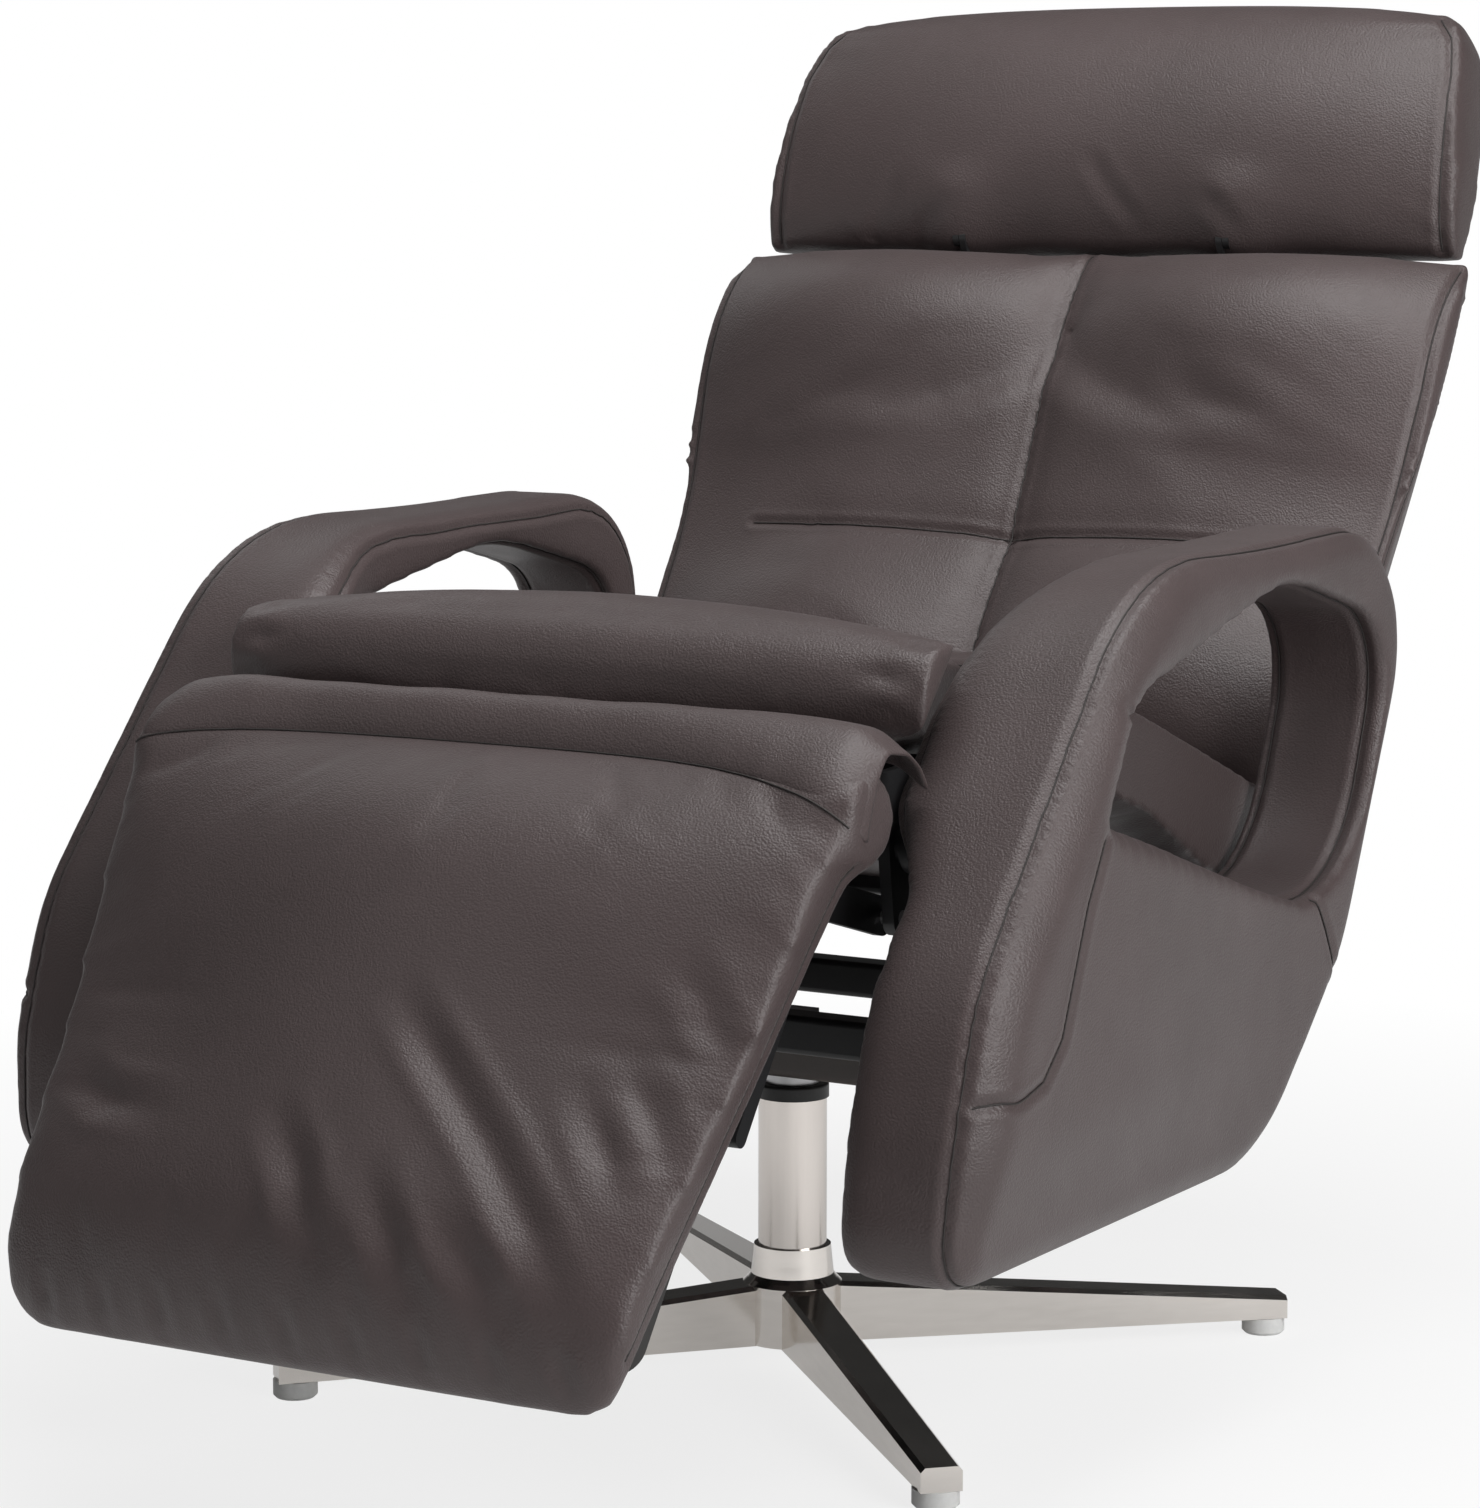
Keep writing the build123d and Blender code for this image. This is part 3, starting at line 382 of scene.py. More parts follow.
def dropped(skin, path):
    """A line moved to the nearest points of a skin: its points there and the skin's normals."""
    return places_of([skin.find_nearest(Vector(point)) for point in path])


def reach_of(points, line, batch=2000):
    """The distance of each point from a line, and the line's nearest stretch."""
    start = line[:-1]
    step = line[1:] - start
    square = np.maximum((step * step).sum(1), 1e-12)
    distance = np.empty(len(points))
    nearest = np.empty(len(points), int)
    for first in range(0, len(points), batch):
        offset = points[first:first + batch, None, :] - start[None]
        share = np.clip((offset * step[None]).sum(2) / square, 0, 1)
        gap = np.linalg.norm(offset - share[:, :, None] * step[None], axis=2)
        nearest[first:first + batch] = gap.argmin(1)
        distance[first:first + batch] = gap.min(1)
    return distance, nearest


def press(obj, marks):
    """Press lines into a skin. A mark is a line, its depth, its width, the length over which it runs out at
    both ends, and the height of its banks, which stand two widths from it."""
    points = points_of(obj)
    tree = KDTree(len(points))
    for index, point in enumerate(points):
        tree.insert(point, index)
    tree.balance()
    sink = np.zeros(len(points))
    for (places, _), depth, width, fade, bank in marks:
        run = np.concatenate([[0], np.cumsum(np.linalg.norm(np.diff(places, axis=0), axis=1))])
        ends = np.minimum(run, run[-1] - run)
        strength = np.clip(ends / fade, 0, 1) if fade else np.ones(len(run))
        near = {index for spot in places for _, index, _ in tree.find_range(spot, mark_reach * width)}
        near = np.array(sorted(near), int)
        distance, nearest = reach_of(points[near], places)
        x = distance / width
        sink[near] += strength[nearest] * (np.exp(-x * x) * depth - bank * np.exp(-2 * (x - 2) ** 2))
    move_points(obj, points - normals_of(obj) * sink[:, None])


def seam(line):
    """A sewn seam."""
    return line, seam_depth, seam_width, 0.0, seam_bank


def crease(line, depth, width, fade):
    """A soft fold in slack leather."""
    return line, depth, width, fade, depth * fold_bank


# Materials
def shader(name):
    material = bpy.data.materials.new(name)
    material.use_nodes = True
    tree = material.node_tree
    return material, tree, tree.nodes["Principled BSDF"]


def feed(tree, made, inputs):
    """Give a node its inputs, each a value or the output of another node."""
    for key, value in inputs.items():
        if isinstance(value, bpy.types.NodeSocket):
            tree.links.new(value, made.inputs[key])
        else:
            made.inputs[key].default_value = value


def node(tree, kind, inputs, **settings):
    made = tree.nodes.new(kind)
    for key, value in settings.items():
        setattr(made, key, value)
    feed(tree, made, inputs)
    return made


def place(tree):
    return node(tree, "ShaderNodeTexCoord", {}).outputs["Object"]


def noise(tree, where, scale, detail, roughness=0.5):
    inputs = {"Vector": where, "Scale": scale, "Detail": detail, "Roughness": roughness}
    return node(tree, "ShaderNodeTexNoise", inputs).outputs


def ranged(tree, value, low, high, start=0.0, end=1.0):
    """A value's stretch from start to end, brought to the stretch from low to high."""
    inputs = {"Value": value, "From Min": start, "From Max": end, "To Min": low, "To Max": high}
    return node(tree, "ShaderNodeMapRange", inputs).outputs["Result"]


def combined(tree, operation, first, second, kind="ShaderNodeMath"):
    return node(tree, kind, {0: first, 1: second}, operation=operation).outputs[0]


def two_tone(tree, factor, low, high, start=0.0, end=1.0):
    """A colour that runs from a low to a high tone."""
    ramp = node(tree, "ShaderNodeValToRGB", {"Fac": factor})
    for element, tone, position in zip(ramp.color_ramp.elements, (low, high), (start, end)):
        element.color = (*tone, 1)
        element.position = position
    return ramp.outputs["Color"]


def relief(tree, heights, strength, distance, **more):
    inputs = {"Height": heights, "Strength": strength, "Distance": distance}
    return node(tree, "ShaderNodeBump", inputs, **more)


def leather(name, low, high, grain):
    """Dyed leather: slow colour drift, pebble grain, fine pull lines and a soft satin sheen."""
    material, tree, base = shader(name)
    where = place(tree)
    drift = noise(tree, where, scale=7.0, detail=4.0, roughness=0.6)["Fac"]
    warp = noise(tree, where, scale=60.0, detail=2.0)["Color"]
    bent = combined(tree, "MULTIPLY", warp, (0.004, 0.004, 0.004), "ShaderNodeVectorMath")
    spot = combined(tree, "ADD", where, bent, "ShaderNodeVectorMath")
    cells = {"Vector": spot, "Scale": grain, "Smoothness": 0.6}
    pebble = node(tree, "ShaderNodeTexVoronoi", cells, feature="SMOOTH_F1")
    fine = noise(tree, where, scale=1600.0, detail=2.0)["Fac"]
    rough = noise(tree, where, scale=35.0, detail=3.0)["Fac"]
    first = relief(tree, pebble.outputs["Distance"], strength=0.45, distance=0.0007, invert=True)
    second = relief(tree, fine, strength=0.12, distance=0.0003)
    tree.links.new(first.outputs["Normal"], second.inputs["Normal"])
    feed(tree, base, {
        "Base Color": two_tone(tree, drift, low, high, start=0.3, end=0.7),
        "Roughness": ranged(tree, rough, 0.40, 0.52),
        "Normal": second.outputs["Normal"],
        "Specular IOR Level": 0.45,
        "Sheen Weight": 0.05,
        "Sheen Roughness": 0.5,
    })
    return material


def metal(name, low, high, smoothest, roughest, stretch):
    """Metal with a finish that runs along one direction, set by stretch."""
    material, tree, base = shader(name)
    lay = node(tree, "ShaderNodeMapping", {"Vector": place(tree), "Scale": stretch})
    lines = noise(tree, lay.outputs[0], scale=40.0, detail=5.0)["Fac"]
    feed(tree, base, {
        "Base Color": two_tone(tree, lines, low, high),
        "Roughness": ranged(tree, lines, smoothest, roughest),
        "Normal": relief(tree, lines, strength=0.05, distance=0.0002).outputs["Normal"],
        "Metallic": 1.0,
    })
    return material


def dull(name, low, high, scale, roughness, bump):
    """Moulded plastic, powder paint, board, thread or webbing: a speckle in colour and relief."""
    material, tree, base = shader(name)
    speckle = noise(tree, place(tree), scale, detail=4.0)["Fac"]
    feed(tree, base, {
        "Base Color": two_tone(tree, speckle, low, high),
        "Roughness": roughness,
        "Normal": relief(tree, speckle, strength=bump, distance=0.0003).outputs["Normal"],
    })
    return material


# Metals: low and high tone, least and greatest roughness, and how the finish is stretched along X, Y and Z
metals = {
    "polished_aluminium": ((0.70, 0.66, 0.62), (0.80, 0.76, 0.72), 0.08, 0.18, (1, 1, 6)),
    "bright_column": ((0.67, 0.62, 0.58), (0.77, 0.72, 0.68), 0.16, 0.26, (8, 8, 0.3)),
    "zinc_steel": ((0.42, 0.42, 0.43), (0.56, 0.56, 0.56), 0.30, 0.45, (4, 4, 4)),
}
# Dull surfaces: low and high tone, scale of the speckle, roughness, and strength of the relief
dull_surfaces = {
    "thread": ((0.016, 0.013, 0.012), (0.030, 0.025, 0.024), 2000.0, 0.7, 0.3),
    "pale_plastic": ((0.62, 0.62, 0.61), (0.74, 0.74, 0.73), 300.0, 0.5, 0.1),
    "black_plastic": ((0.012, 0.012, 0.012), (0.024, 0.024, 0.024), 500.0, 0.45, 0.1),
    "brown_steel": ((0.060, 0.050, 0.046), (0.080, 0.066, 0.060), 700.0, 0.42, 0.15),
    "black_steel": ((0.010, 0.010, 0.011), (0.020, 0.020, 0.021), 900.0, 0.40, 0.15),
    "black_board": ((0.016, 0.015, 0.015), (0.034, 0.032, 0.031), 900.0, 0.8, 0.3),
    "webbing": ((0.03, 0.03, 0.03), (0.07, 0.07, 0.07), 1200.0, 0.85, 0.4),
}
finishes = {"leather": leather("leather", (0.053, 0.0385, 0.038), (0.065, 0.0472, 0.047), grain=680.0)}
for name, values in metals.items():
    finishes[name] = metal(name, *values)
for name, values in dull_surfaces.items():
    finishes[name] = dull(name, *values)
hide = finishes["leather"]
thread = finishes["thread"]
for part in frame["record"]["subparts"]:
    mesh = nodes[part["node"]].data
    mesh.materials.clear()
    mesh.materials.append(finishes[part["material_slot"]])


def dress(obj, body, *replaced, fill=0.7):
    """Finish a leather piece: material, body and what it stands for."""
    obj.data.materials.clear()
    obj.data.materials.append(hide)
    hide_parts(*replaced)
    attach(obj, body)


def threads(name, body, lines):
    """The sewing threads that lie in a piece's seams."""
    curve = bpy.data.curves.new(name, "CURVE")
    curve.dimensions = "3D"
    curve.bevel_depth = thread_radius
    curve.bevel_resolution = 1
    for places, normals in lines:
        spline = curve.splines.new("POLY")
        spline.points.add(len(places) - 1)
        for point, where, normal in zip(spline.points, places, normals):
            point.co = (*(where - normal * (seam_depth - thread_radius)), 1)
    curve.materials.append(thread)
    made = link(bpy.data.objects.new(name, curve))
    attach(made, body)


# Arms
arm_loop = rounded(arm_corners, arm_radii)
hand_hole = rounded(hole_corners, hole_radii)
for name, side in sides:
    arm = skin_of(f"{name}_arm", f"{name}_arm_leather", fine_voxel)
    smooth(arm, rounds=10)
    across, along, up = points_of(arm).T
    outwards = side * across
    front = falling(along, start=-0.10, over=0.14)
    outer = np.clip((outwards - arm_outer_start) / arm_reach, 0, 1) ** 2
    outer *= falling(along, start=0.05, over=0.3)
    inner = np.clip((arm_inner_start - outwards) / arm_reach, 0, 1) ** 2 * front
    inner *= rising(up, start=0.385, over=0.06)
    away = (normals_of(arm) * (points_of(arm) - np.array(arm_heart))).sum(1) > 0
    crown = np.clip(1 - ((outwards - arm_middle) / arm_reach) ** 2, 0, 1) * front * away
    swell = (outer * arm_swell + crown * arm_crown) * rising(up, start=0.19, over=0.08)
    moved = points_of(arm) + normals_of(arm) * swell[:, None]
    moved[:, 0] -= side * inner * arm_inner_swell
    move_points(arm, moved)
    smooth(arm, rounds=5)
    subdivide(arm)
    skin = surface(arm)
    paths = [upright(arm_loop, side * x) for x in (arm_outer_seam, arm_back_seam)]
    paths += [upright(hand_hole, side * x) for x in (arm_outer_seam, arm_inner_seam)]
    paths += [upright(spread(path), side * arm_face) for path in (crescent, rear_dart)]
    lines = [dropped(skin, path) for path in paths]
    press(arm, [seam(line) for line in lines])
    dress(arm, "carriage", f"{name}_arm", fill=0.9)
    threads(f"{name}_arm_seams", "carriage", lines)

# Seat: a roll in front and a crowned top, with short pleats where the roll meets the arms.
# It is drawn in between the arms by a share of its width, raised along its sides and let out at its rear
seat_tuck = 0.14
seat_bolster = 0.016
seat_heel = 0.012
seat_edge = [
    (0.217, -0.20), (0.224, -0.16), (0.244, -0.10), (0.250, -0.06),
    (0.251, 0.0), (0.251, 0.15), (0.251, 0.236),
]
# Front edge of the arms: a point of it and the direction ahead of it (Y, Z)
arm_edge = arm_corners[1]
ahead_of_arm = (-0.753, 0.658)
# Pleats of the roll: their outer end, how far along the seat they are drawn, and each one's lift and length
pleat_end = 0.254
pleat_along = -0.30
pleat_slant = 1.3
pleats = ((-0.010, 0.030), (0.010, 0.045), (0.032, 0.036))

seat = skin_of("seat_cushion", "seat_leather")
across, along, up = points_of(seat).T
sideways = np.abs(across)
before_arm = (along - arm_edge[0]) * ahead_of_arm[0] + (up - arm_edge[1]) * ahead_of_arm[1]
tuck = seat_tuck * rising(sideways, start=0.14, over=0.1) * falling(along, start=-0.09, over=0.08)
tuck *= 1 - rising(before_arm, start=0.012, over=0.02)
bolster = seat_bolster * rising(sideways, start=0.16, over=0.07) * rising(along, start=-0.20, over=0.1)
bolster *= rising(up, start=0.34, over=0.05)
heel = seat_heel * rising(along, start=0.10, over=0.1)
points = points_of(seat) - bolster[:, None] * np.array(into_seat) + heel[:, None] * np.array(along_seat)
points[:, 0] *= 1 - tuck
move_points(seat, points)
smooth(seat, rounds=6)
inset(seat, skin_inset)
held = held_under(seat, at_seat(0, 0, 0), into_seat, level=-0.025)
inflate(seat, pressure=5.0, cap=0.014, held=held, slack=0.004)
smooth(seat, rounds=3)
subdivide(seat)
skin = surface(seat)
seat_seams = []
seat_folds = []
for _, side in sides:
    seat_seams.append(cast(skin, drawn(at_seat, seat_edge, side), into_seat))
    for lift, length in pleats:
        outer_end = at_seat(side * pleat_end, pleat_along, lift)
        inner_end = at_seat(side * (pleat_end - length), pleat_along, lift * pleat_slant)
        pleat = cast(skin, [outer_end, inner_end], along_seat)
        seat_folds.append(crease(pleat, depth=0.0022, width=0.006, fade=0.025))
press(seat, [seam(line) for line in seat_seams] + seat_folds)
dress(seat, "seat", "seat_cushion")
threads("seat_seams", "seat", seat_seams)

# Back: four pillows, sewn down along the middle and across, with sewn-on side panels.
# It is let out in width, more towards the top, and in length at the top, at the top's middle and at the foot
back_wider = 1.02
back_top_wider = 0.045
back_higher = 0.008
back_peak = 0.006
back_peak_width = 0.03
back_lower = 0.010
cross_height = 0.222
panel_half_width = 0.215
back_edge = [(0.274, 0.060), (0.285, 0.20), (0.297, 0.35), (0.298, 0.456)]
boxing_seams = (0.040, 0.048)
valley_depth = 0.0045
valley_width = 0.018
valley_fade = 0.06


def fit_back(obj):
    """Let out a skin of the back: wider towards the top, up to the headrest, and down behind the seat."""
    points = points_of(obj)
    up = distance_along(obj, at_back(0, 0, 0), up_back)
    points[:, 0] *= back_wider + back_top_wider * rising(up, start=0.12, over=0.28)
    peak = back_peak * np.exp(-(points[:, 0] / back_peak_width) ** 2)
    higher = (back_higher + peak) * rising(up, start=0.38, over=0.08)
    lower = back_lower * falling(up, start=0.14, over=0.08)
    move_points(obj, points + (higher - lower)[:, None] * np.array(up_back))


back = skin_of("back_cushion", "back_leather")
smooth(back, rounds=6)
fit_back(back)
inset(back, skin_inset)
held = held_under(back, at_back(0, 0, 0), into_back, level=0.034)
inflate(back, pressure=4.0, cap=0.011, held=held)
smooth(back, rounds=12)
subdivide(back)
skin = surface(back)
middle_line = [(0, 0.060), (0, cross_height), (0, 0.466)]
middle_seam = cast(skin, drawn(at_back, middle_line), into_back)
cross_line = [(-panel_half_width, cross_height), (panel_half_width, cross_height)]
cross_seam = cast(skin, drawn(at_back, cross_line), into_back)
back_seams = [middle_seam, cross_seam]
for _, side in sides:
    back_seams.append(cast(skin, drawn(at_back, back_edge, side), into_back))
    for out in boxing_seams:
        boxing = [at_back(0, up, out) for up in (0.070, 0.15, 0.28, 0.43)]
        back_seams.append(cast(skin, boxing, (-side, 0, 0)))
press(back, [(line, valley_depth, valley_width, valley_fade, 0.0) for line in (middle_seam, cross_seam)])
skin = surface(back)
back_seams = [dropped(skin, line[0]) for line in back_seams]
press(back, [seam(line) for line in back_seams])
dress(back, "backrest", "back_cushion")
threads("back_seams", "backrest", back_seams)

back_shell = skin_of("back_cover", "back_cover_leather", fine_voxel)
smooth(back_shell, rounds=8)
fit_back(back_shell)
subdivide(back_shell)
skin = surface(back_shell)
shell_side = [(panel_half_width, up) for up in (0.09, 0.25, 0.41)]
shell_top = [(-panel_half_width, 0.405), (panel_half_width, 0.405)]
shell_lines = [drawn(at_back, shell_side, side) for _, side in sides]
shell_lines.append(drawn(at_back, shell_top))
shell_seams = [cast(skin, line, -into_back) for line in shell_lines]
press(back_shell, [seam(line) for line in shell_seams])
dress(back_shell, "backrest", "back_cover", fill=0.9)
threads("back_cover_seams", "backrest", shell_seams)

# Headrest, with an end panel on each side and shallow creases along its lower edge.
# Its skin stands out over the two hinges, so that their knuckles stay covered, and is bulged in front
hinge_across = 0.115
hinge_width = 0.03
hinge_cover = 2.2
head_bulge = 0.014
head_middle = 0.592
head_half_height = 0.115
head_ends = [(0.277, 0.474), (0.274, 0.54), (0.270, 0.60), (0.262, 0.632), (0.245, 0.655)]
head_folds = [
    [(-0.196, 0.466), (-0.182, 0.488), (-0.160, 0.516)],
    [(-0.156, 0.464), (-0.142, 0.480), (-0.122, 0.495)],
    [(0.086, 0.505), (0.109, 0.489), (0.128, 0.473)],
    [(-0.007, 0.533), (0.016, 0.505), (0.041, 0.481)],
]
head = skin_of("headrest_cushion", "headrest_leather", closed=True)
smooth(head, rounds=5)
head_up = distance_along(head, at_back(0, 0, 0), up_back)
from_hinge = np.abs(points_of(head)[:, 0]) - hinge_across
over_hinge = np.exp(-(from_hinge / hinge_width) ** 2) * falling(head_up, start=0.53, over=0.03)
inset(head, skin_inset * (1 - hinge_cover * over_hinge))
facing = np.clip(normals_of(head) @ -np.array(into_back), 0, 1)
bulge = head_bulge * facing * np.clip(1 - ((head_up - head_middle) / head_half_height) ** 2, 0, 1)
move_points(head, points_of(head) - bulge[:, None] * np.array(into_back))
held = held_under(head, at_back(0, 0, 0), into_back, level=0.030)
inflate(head, pressure=4.0, cap=0.011, held=held)
smooth(head, rounds=3)
subdivide(head)
skin = surface(head)
head_seams = [cast(skin, drawn(at_back, head_ends, side), into_back) for _, side in sides]
head_marks = [seam(line) for line in head_seams]
for fold in head_folds:
    line = cast(skin, drawn(at_back, fold), into_back)
    head_marks.append(crease(line, depth=0.0012, width=0.007, fade=0.02))
press(head, head_marks)
dress(head, "headrest", "headrest_cushion")
threads("headrest_seams", "headrest", head_seams)

head_shell = skin_of("headrest_cover", "headrest_cover_leather", finest_voxel)
smooth(head_shell, rounds=6)
subdivide(head_shell)
dress(head_shell, "headrest", "headrest_cover", fill=0.9)

# Footrest: slack leather that creases towards one toe corner, with short pleats along the toe
foot_folds = [
    [(0.017, 0.155), (0.058, 0.195), (0.114, 0.247), (0.159, 0.295), (0.187, 0.333)],
    [(0.184, 0.112), (0.207, 0.135), (0.228, 0.161), (0.236, 0.188)],
    [(0.168, 0.175), (0.199, 0.208), (0.226, 0.247)],
    [(0.149, 0.191), (0.179, 0.231), (0.206, 0.276)],
    [(-0.040, 0.236), (-0.002, 0.279), (0.025, 0.334)],
    [(-0.216, 0.225), (-0.170, 0.246), (-0.110, 0.252)],
    [(0.086, 0.285), (0.128, 0.322), (0.152, 0.356)],
    [(0.036, 0.262), (0.072, 0.312), (0.094, 0.358)],
]
toe_pleats = 9
toe_pleat_first = -0.18
toe_pleat_pitch = 0.045
toe_pleat_top = 0.348
toe_pleat_foot = 0.374
toe_pleat_splay = 1.04
toe_pleat_lean = 0.006
foot_top_held = -0.022
foot_toe_held = 0.352

foot = skin_of("footrest_cushion", "footrest_leather")
smooth(foot, rounds=16)
foot_down = distance_along(foot, at_foot(0, 0, 0), down_foot)
held = held_under(foot, at_foot(0, 0, 0), into_foot, level=-0.012)
held |= (foot_down < foot_top_held) | (foot_down > foot_toe_held)
inflate(foot, pressure=4.0, cap=0.014, held=held, slack=0.006)
smooth(foot, rounds=3)
subdivide(foot)
skin = surface(foot)
foot_seams = []
for _, side in sides:
    boxing = [at_foot(0, down, -0.004) for down in (0.03, 0.2, 0.345)]
    foot_seams.append(cast(skin, boxing, (-side, 0, 0)))
foot_marks = [seam(line) for line in foot_seams]
for fold in foot_folds:
    line = cast(skin, drawn(at_foot, fold), into_foot)
    foot_marks.append(crease(line, depth=0.0040, width=0.010, fade=0.06))
for index in range(toe_pleats):
    x = toe_pleat_first + toe_pleat_pitch * index
    pleat = [(x, toe_pleat_top), (x * toe_pleat_splay + toe_pleat_lean, toe_pleat_foot)]
    line = cast(skin, drawn(at_foot, pleat), into_foot)
    foot_marks.append(crease(line, depth=0.0018, width=0.006, fade=0.015))
press(foot, foot_marks)
dress(foot, "footrest", "footrest_cushion")
threads("footrest_seams", "footrest", foot_seams)

# Leather flap that bridges the hinge, from under the seat's roll to a curved seam on top of the footrest:
# its rise (Y, Z), and the seam's places across and down the footrest
flap_half_width = 0.265
flap_thickness = 0.003
flap_rise = [(-0.292, 0.470), (-0.302, 0.484), (-0.316, 0.4935), (-0.338, 0.4970)]
flap_seam_across = [-0.262, -0.218, -0.144, 0.0, 0.14, 0.23, 0.262]
flap_seam_down = [0.001, -0.011, -0.017, -0.022, -0.014, 0.001, 0.018]
flap_seam = np.polyfit(flap_seam_across, flap_seam_down, 4)
flap_columns = np.linspace(-flap_half_width, flap_half_width, 107)
flap_rows = 26
# The flap droops towards its ends, its outermost lip hangs lower, and its leather ripples in two waves
flap_droop_start = 0.195
flap_droop_in = 0.004
flap_droop_down = 0.010
flap_lip = 0.008
flap_ripple = 0.0007
flap_waves = (61.0, 23.0)
flap_phases = (1.3, -0.4)
# How the fall sets off from the crest and how it arrives at the seam (Y, Z)
fall_start = np.array((-0.012, 0.0005))
fall_end = np.array((0.001, 0.013))
fall_steps = 12

seam_columns = np.linspace(-flap_half_width, flap_half_width, 400)
seam_path = drawn(at_foot, [(x, np.polyval(flap_seam, x)) for x in seam_columns])
sewn_points, sewn_normals = cast(skin, seam_path, into_foot, step=0.001)


def flap_line(x):
    """The flap's line at a place across: up over the hinge, then down to its seam, as (Y, Z) points."""
    nearest = int(np.abs(sewn_points[:, 0] - x).argmin())
    droop = (max(0.0, abs(x) - flap_droop_start) / (flap_half_width - flap_droop_start)) ** 2
    first_wave, second_wave = (math.sin(x * pace + shift) for pace, shift in zip(flap_waves, flap_phases))
    ripple = flap_ripple * first_wave * second_wave
    lip = flap_lip * float(rising(abs(x), start=0.240, over=0.025))
    rise = []
    for y, z in flap_rise:
        rise.append(np.array((y - flap_droop_in * droop, z - flap_droop_down * droop - lip + ripple)))
    crest = rise[-1]
    foot_end = (sewn_points[nearest] - flap_thickness * sewn_normals[nearest])[1:]
    fall = bezier([crest, crest + fall_start, foot_end + fall_end, foot_end], fall_steps)
    return resample([*rise, *fall], flap_rows)


flap_lines = [flap_line(x) for x in flap_columns]
flap_points = []
for row in range(flap_rows):
    flap_points += [(x, *line[row]) for x, line in zip(flap_columns, flap_lines)]
stride = len(flap_columns)
flap_faces = []
for row in range(flap_rows - 1):
    for column in range(stride - 1):
        corner = row * stride + column
        flap_faces.append((corner, corner + 1, corner + stride + 1, corner + stride))
flap_mesh = bpy.data.meshes.new("footrest_flap")
flap_mesh.from_pydata(flap_points, [], flap_faces)
flap = link(bpy.data.objects.new("footrest_flap", flap_mesh))
padding = flap.modifiers.new("padding", "SOLIDIFY")
padding.thickness = flap_thickness
padding.offset = 0.0
bake(flap)
subdivide(flap)
flap.data.materials.append(hide)
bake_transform(flap)
inside_ends = np.abs(sewn_points[:, 0]) < flap_seam_across[-1]
thread_points = (sewn_points + seam_depth * sewn_normals)[inside_ends][::3]
threads("footrest_flap_seam", "footrest", [(thread_points, sewn_normals[inside_ends][::3])])

# Floor: paper, white to the camera with some shade left near the base, and half white in reflections
floor_reach = 14.0
floor_mesh = bpy.data.meshes.new("floor")
floor_corners = [(x * floor_reach, y * floor_reach, 0) for x, y in ((-1, -1), (1, -1), (1, 1), (-1, 1))]
floor_mesh.from_pydata(floor_corners, [], [(0, 1, 2, 3)])
floor = link(bpy.data.objects.new("floor", floor_mesh))
paper, tree, base = shader("paper")
feed(tree, base, {"Base Color": (0.78, 0.78, 0.78, 1), "Roughness": 0.9})
rays = node(tree, "ShaderNodeLightPath", {}).outputs
mirrored = combined(tree, "MULTIPLY", rays["Is Glossy Ray"], 0.5)
seen = combined(tree, "MAXIMUM", rays["Is Camera Ray"], mirrored)
from_middle = node(tree, "ShaderNodeVectorMath", {0: place(tree)}, operation="LENGTH").outputs["Value"]
clear = ranged(tree, from_middle, 0.8, 1.0, start=0.55, end=1.5)
whiteness = combined(tree, "MULTIPLY", seen, clear)
white = node(tree, "ShaderNodeEmission", {"Color": (1, 1, 1, 1), "Strength": 1.0})
mixed = node(tree, "ShaderNodeMixShader", {0: whiteness, 1: base.outputs[0], 2: white.outputs[0]})
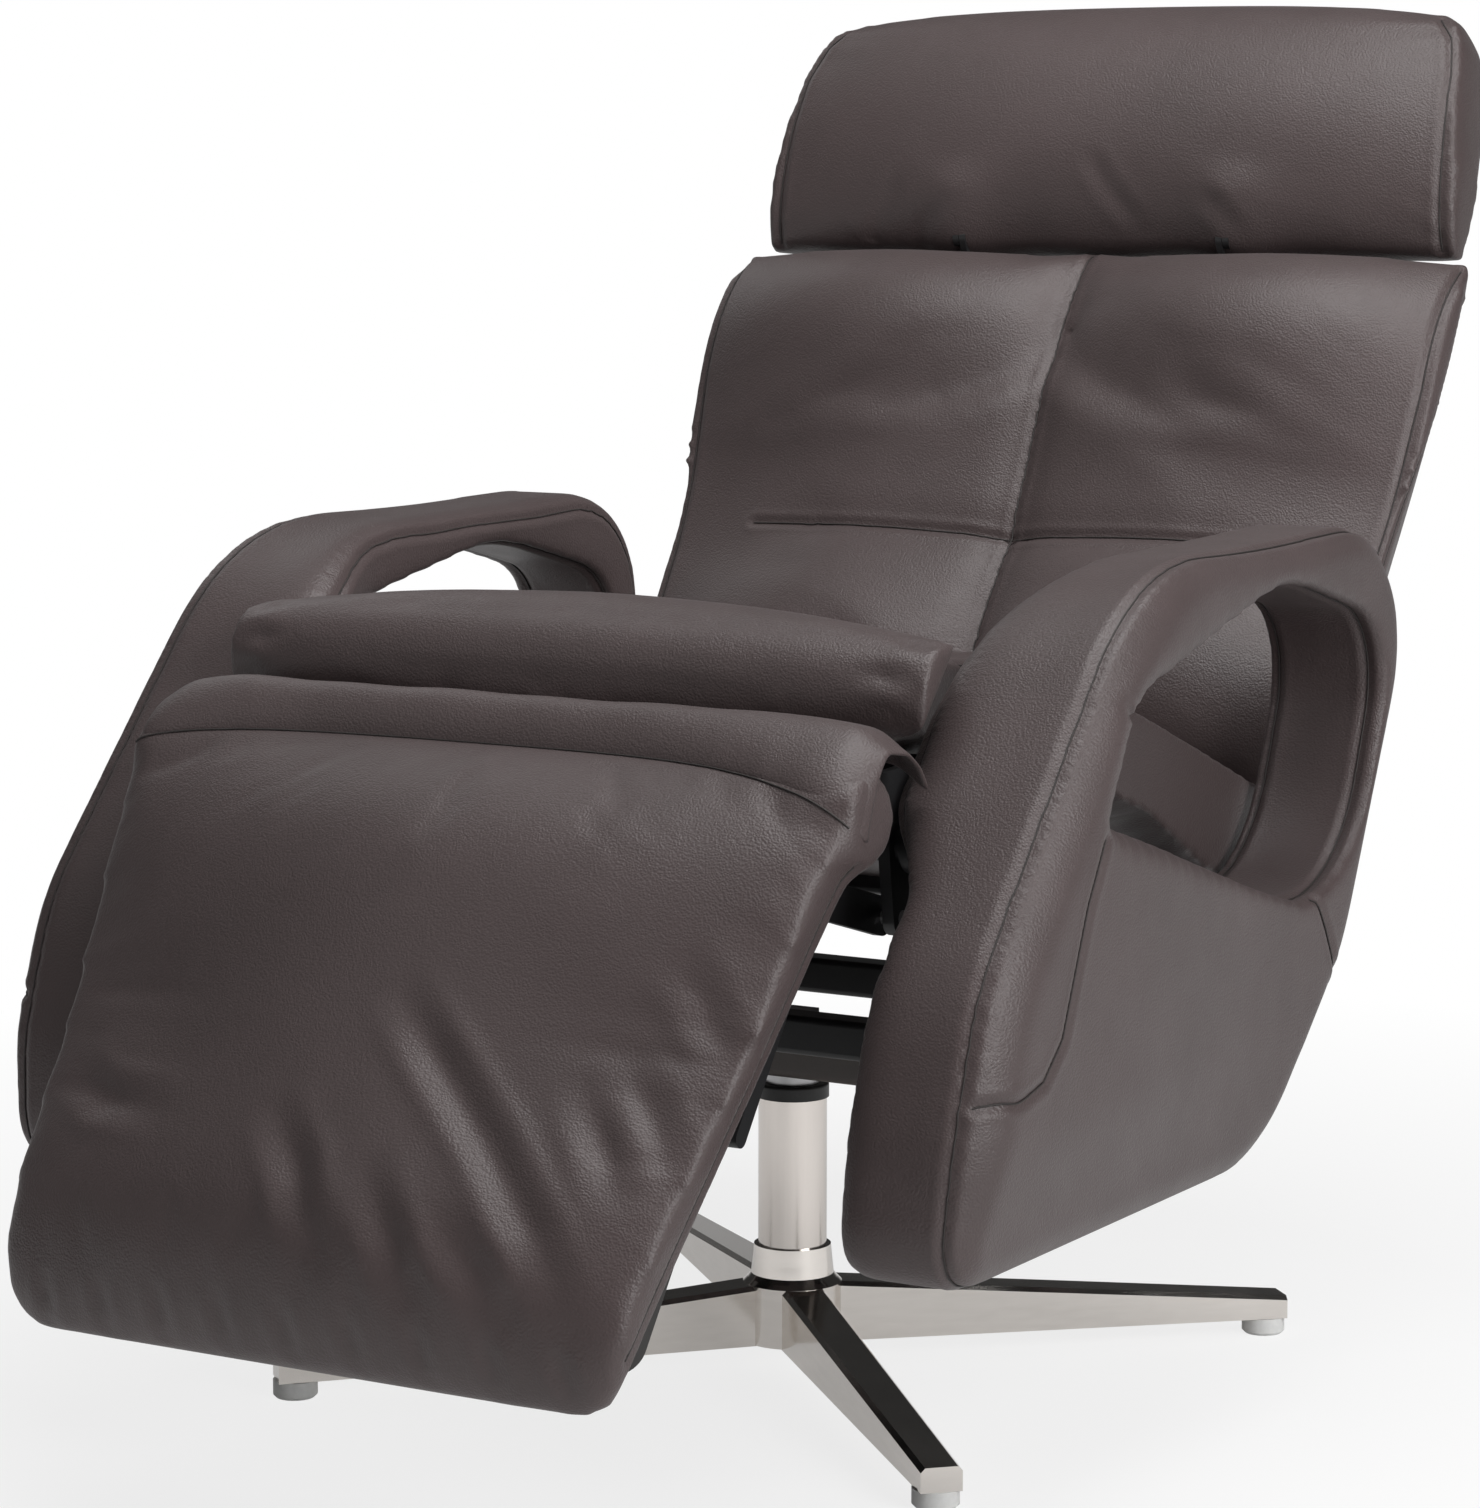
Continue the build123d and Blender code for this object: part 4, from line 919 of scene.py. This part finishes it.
feed(tree, tree.nodes["Material Output"], {"Surface": mixed.outputs[0]})
floor_mesh.materials.append(paper)

# Backdrop: white to the camera, dimmer in reflections near the horizon and dark above it
horizon_glow = 0.4
ceiling_glow = 0.03
room_light = 0.07
world = bpy.data.worlds.new("studio")
scene.world = world
world.use_nodes = True
tree = world.node_tree
rays = node(tree, "ShaderNodeLightPath", {}).outputs
heading = node(tree, "ShaderNodeSeparateXYZ", {0: node(tree, "ShaderNodeTexCoord", {}).outputs["Generated"]})
reflected = ranged(tree, heading.outputs["Z"], horizon_glow, ceiling_glow, start=0.02, end=0.16)
indirect = ranged(tree, rays["Is Glossy Ray"], room_light, reflected)
strength = ranged(tree, rays["Is Camera Ray"], indirect, 1.0)
feed(tree, tree.nodes["Background"], {"Color": (1, 1, 1, 1), "Strength": strength})


def softbox(name, where, size, power):
    """A lamp with a rectangular face, turned to the middle of the chair."""
    lamp = bpy.data.lights.new(name, "AREA")
    lamp.shape = "RECTANGLE"
    lamp.size, lamp.size_y = size
    lamp.energy = power
    obj = link(bpy.data.objects.new(name, lamp))
    obj.location = where
    obj.rotation_euler = (Vector(lamp_target) - Vector(where)).to_track_quat("-Z", "Y").to_euler()


# Lamps: place, width and height, and power in watts
lamp_target = (0.0, 0.0, 0.5)
softbox("key", (-1.4, -2.8, 2.9), (2.4, 1.8), 10.0)
softbox("side", (3.2, -1.0, 1.7), (1.8, 2.2), 94.0)
softbox("top", (0.4, -0.2, 2.3), (1.6, 1.6), 42.0)
softbox("rim", (-2.4, 1.2, 2.4), (1.6, 1.6), 9.0)

camera = bpy.data.cameras.new("camera")
camera.sensor_width = sensor
camera.lens = focal_pixels / photo_long_side * sensor
viewer = link(bpy.data.objects.new("camera", camera))
viewer.location.x = camera_distance * math.sin(camera_azimuth)
viewer.location.y = -camera_distance * math.cos(camera_azimuth)
viewer.location.z = camera_height
viewer.rotation_euler = (math.pi / 2 - camera_pitch, 0, camera_azimuth + camera_yaw)
scene.camera = viewer
scene.view_settings.view_transform = "Standard"
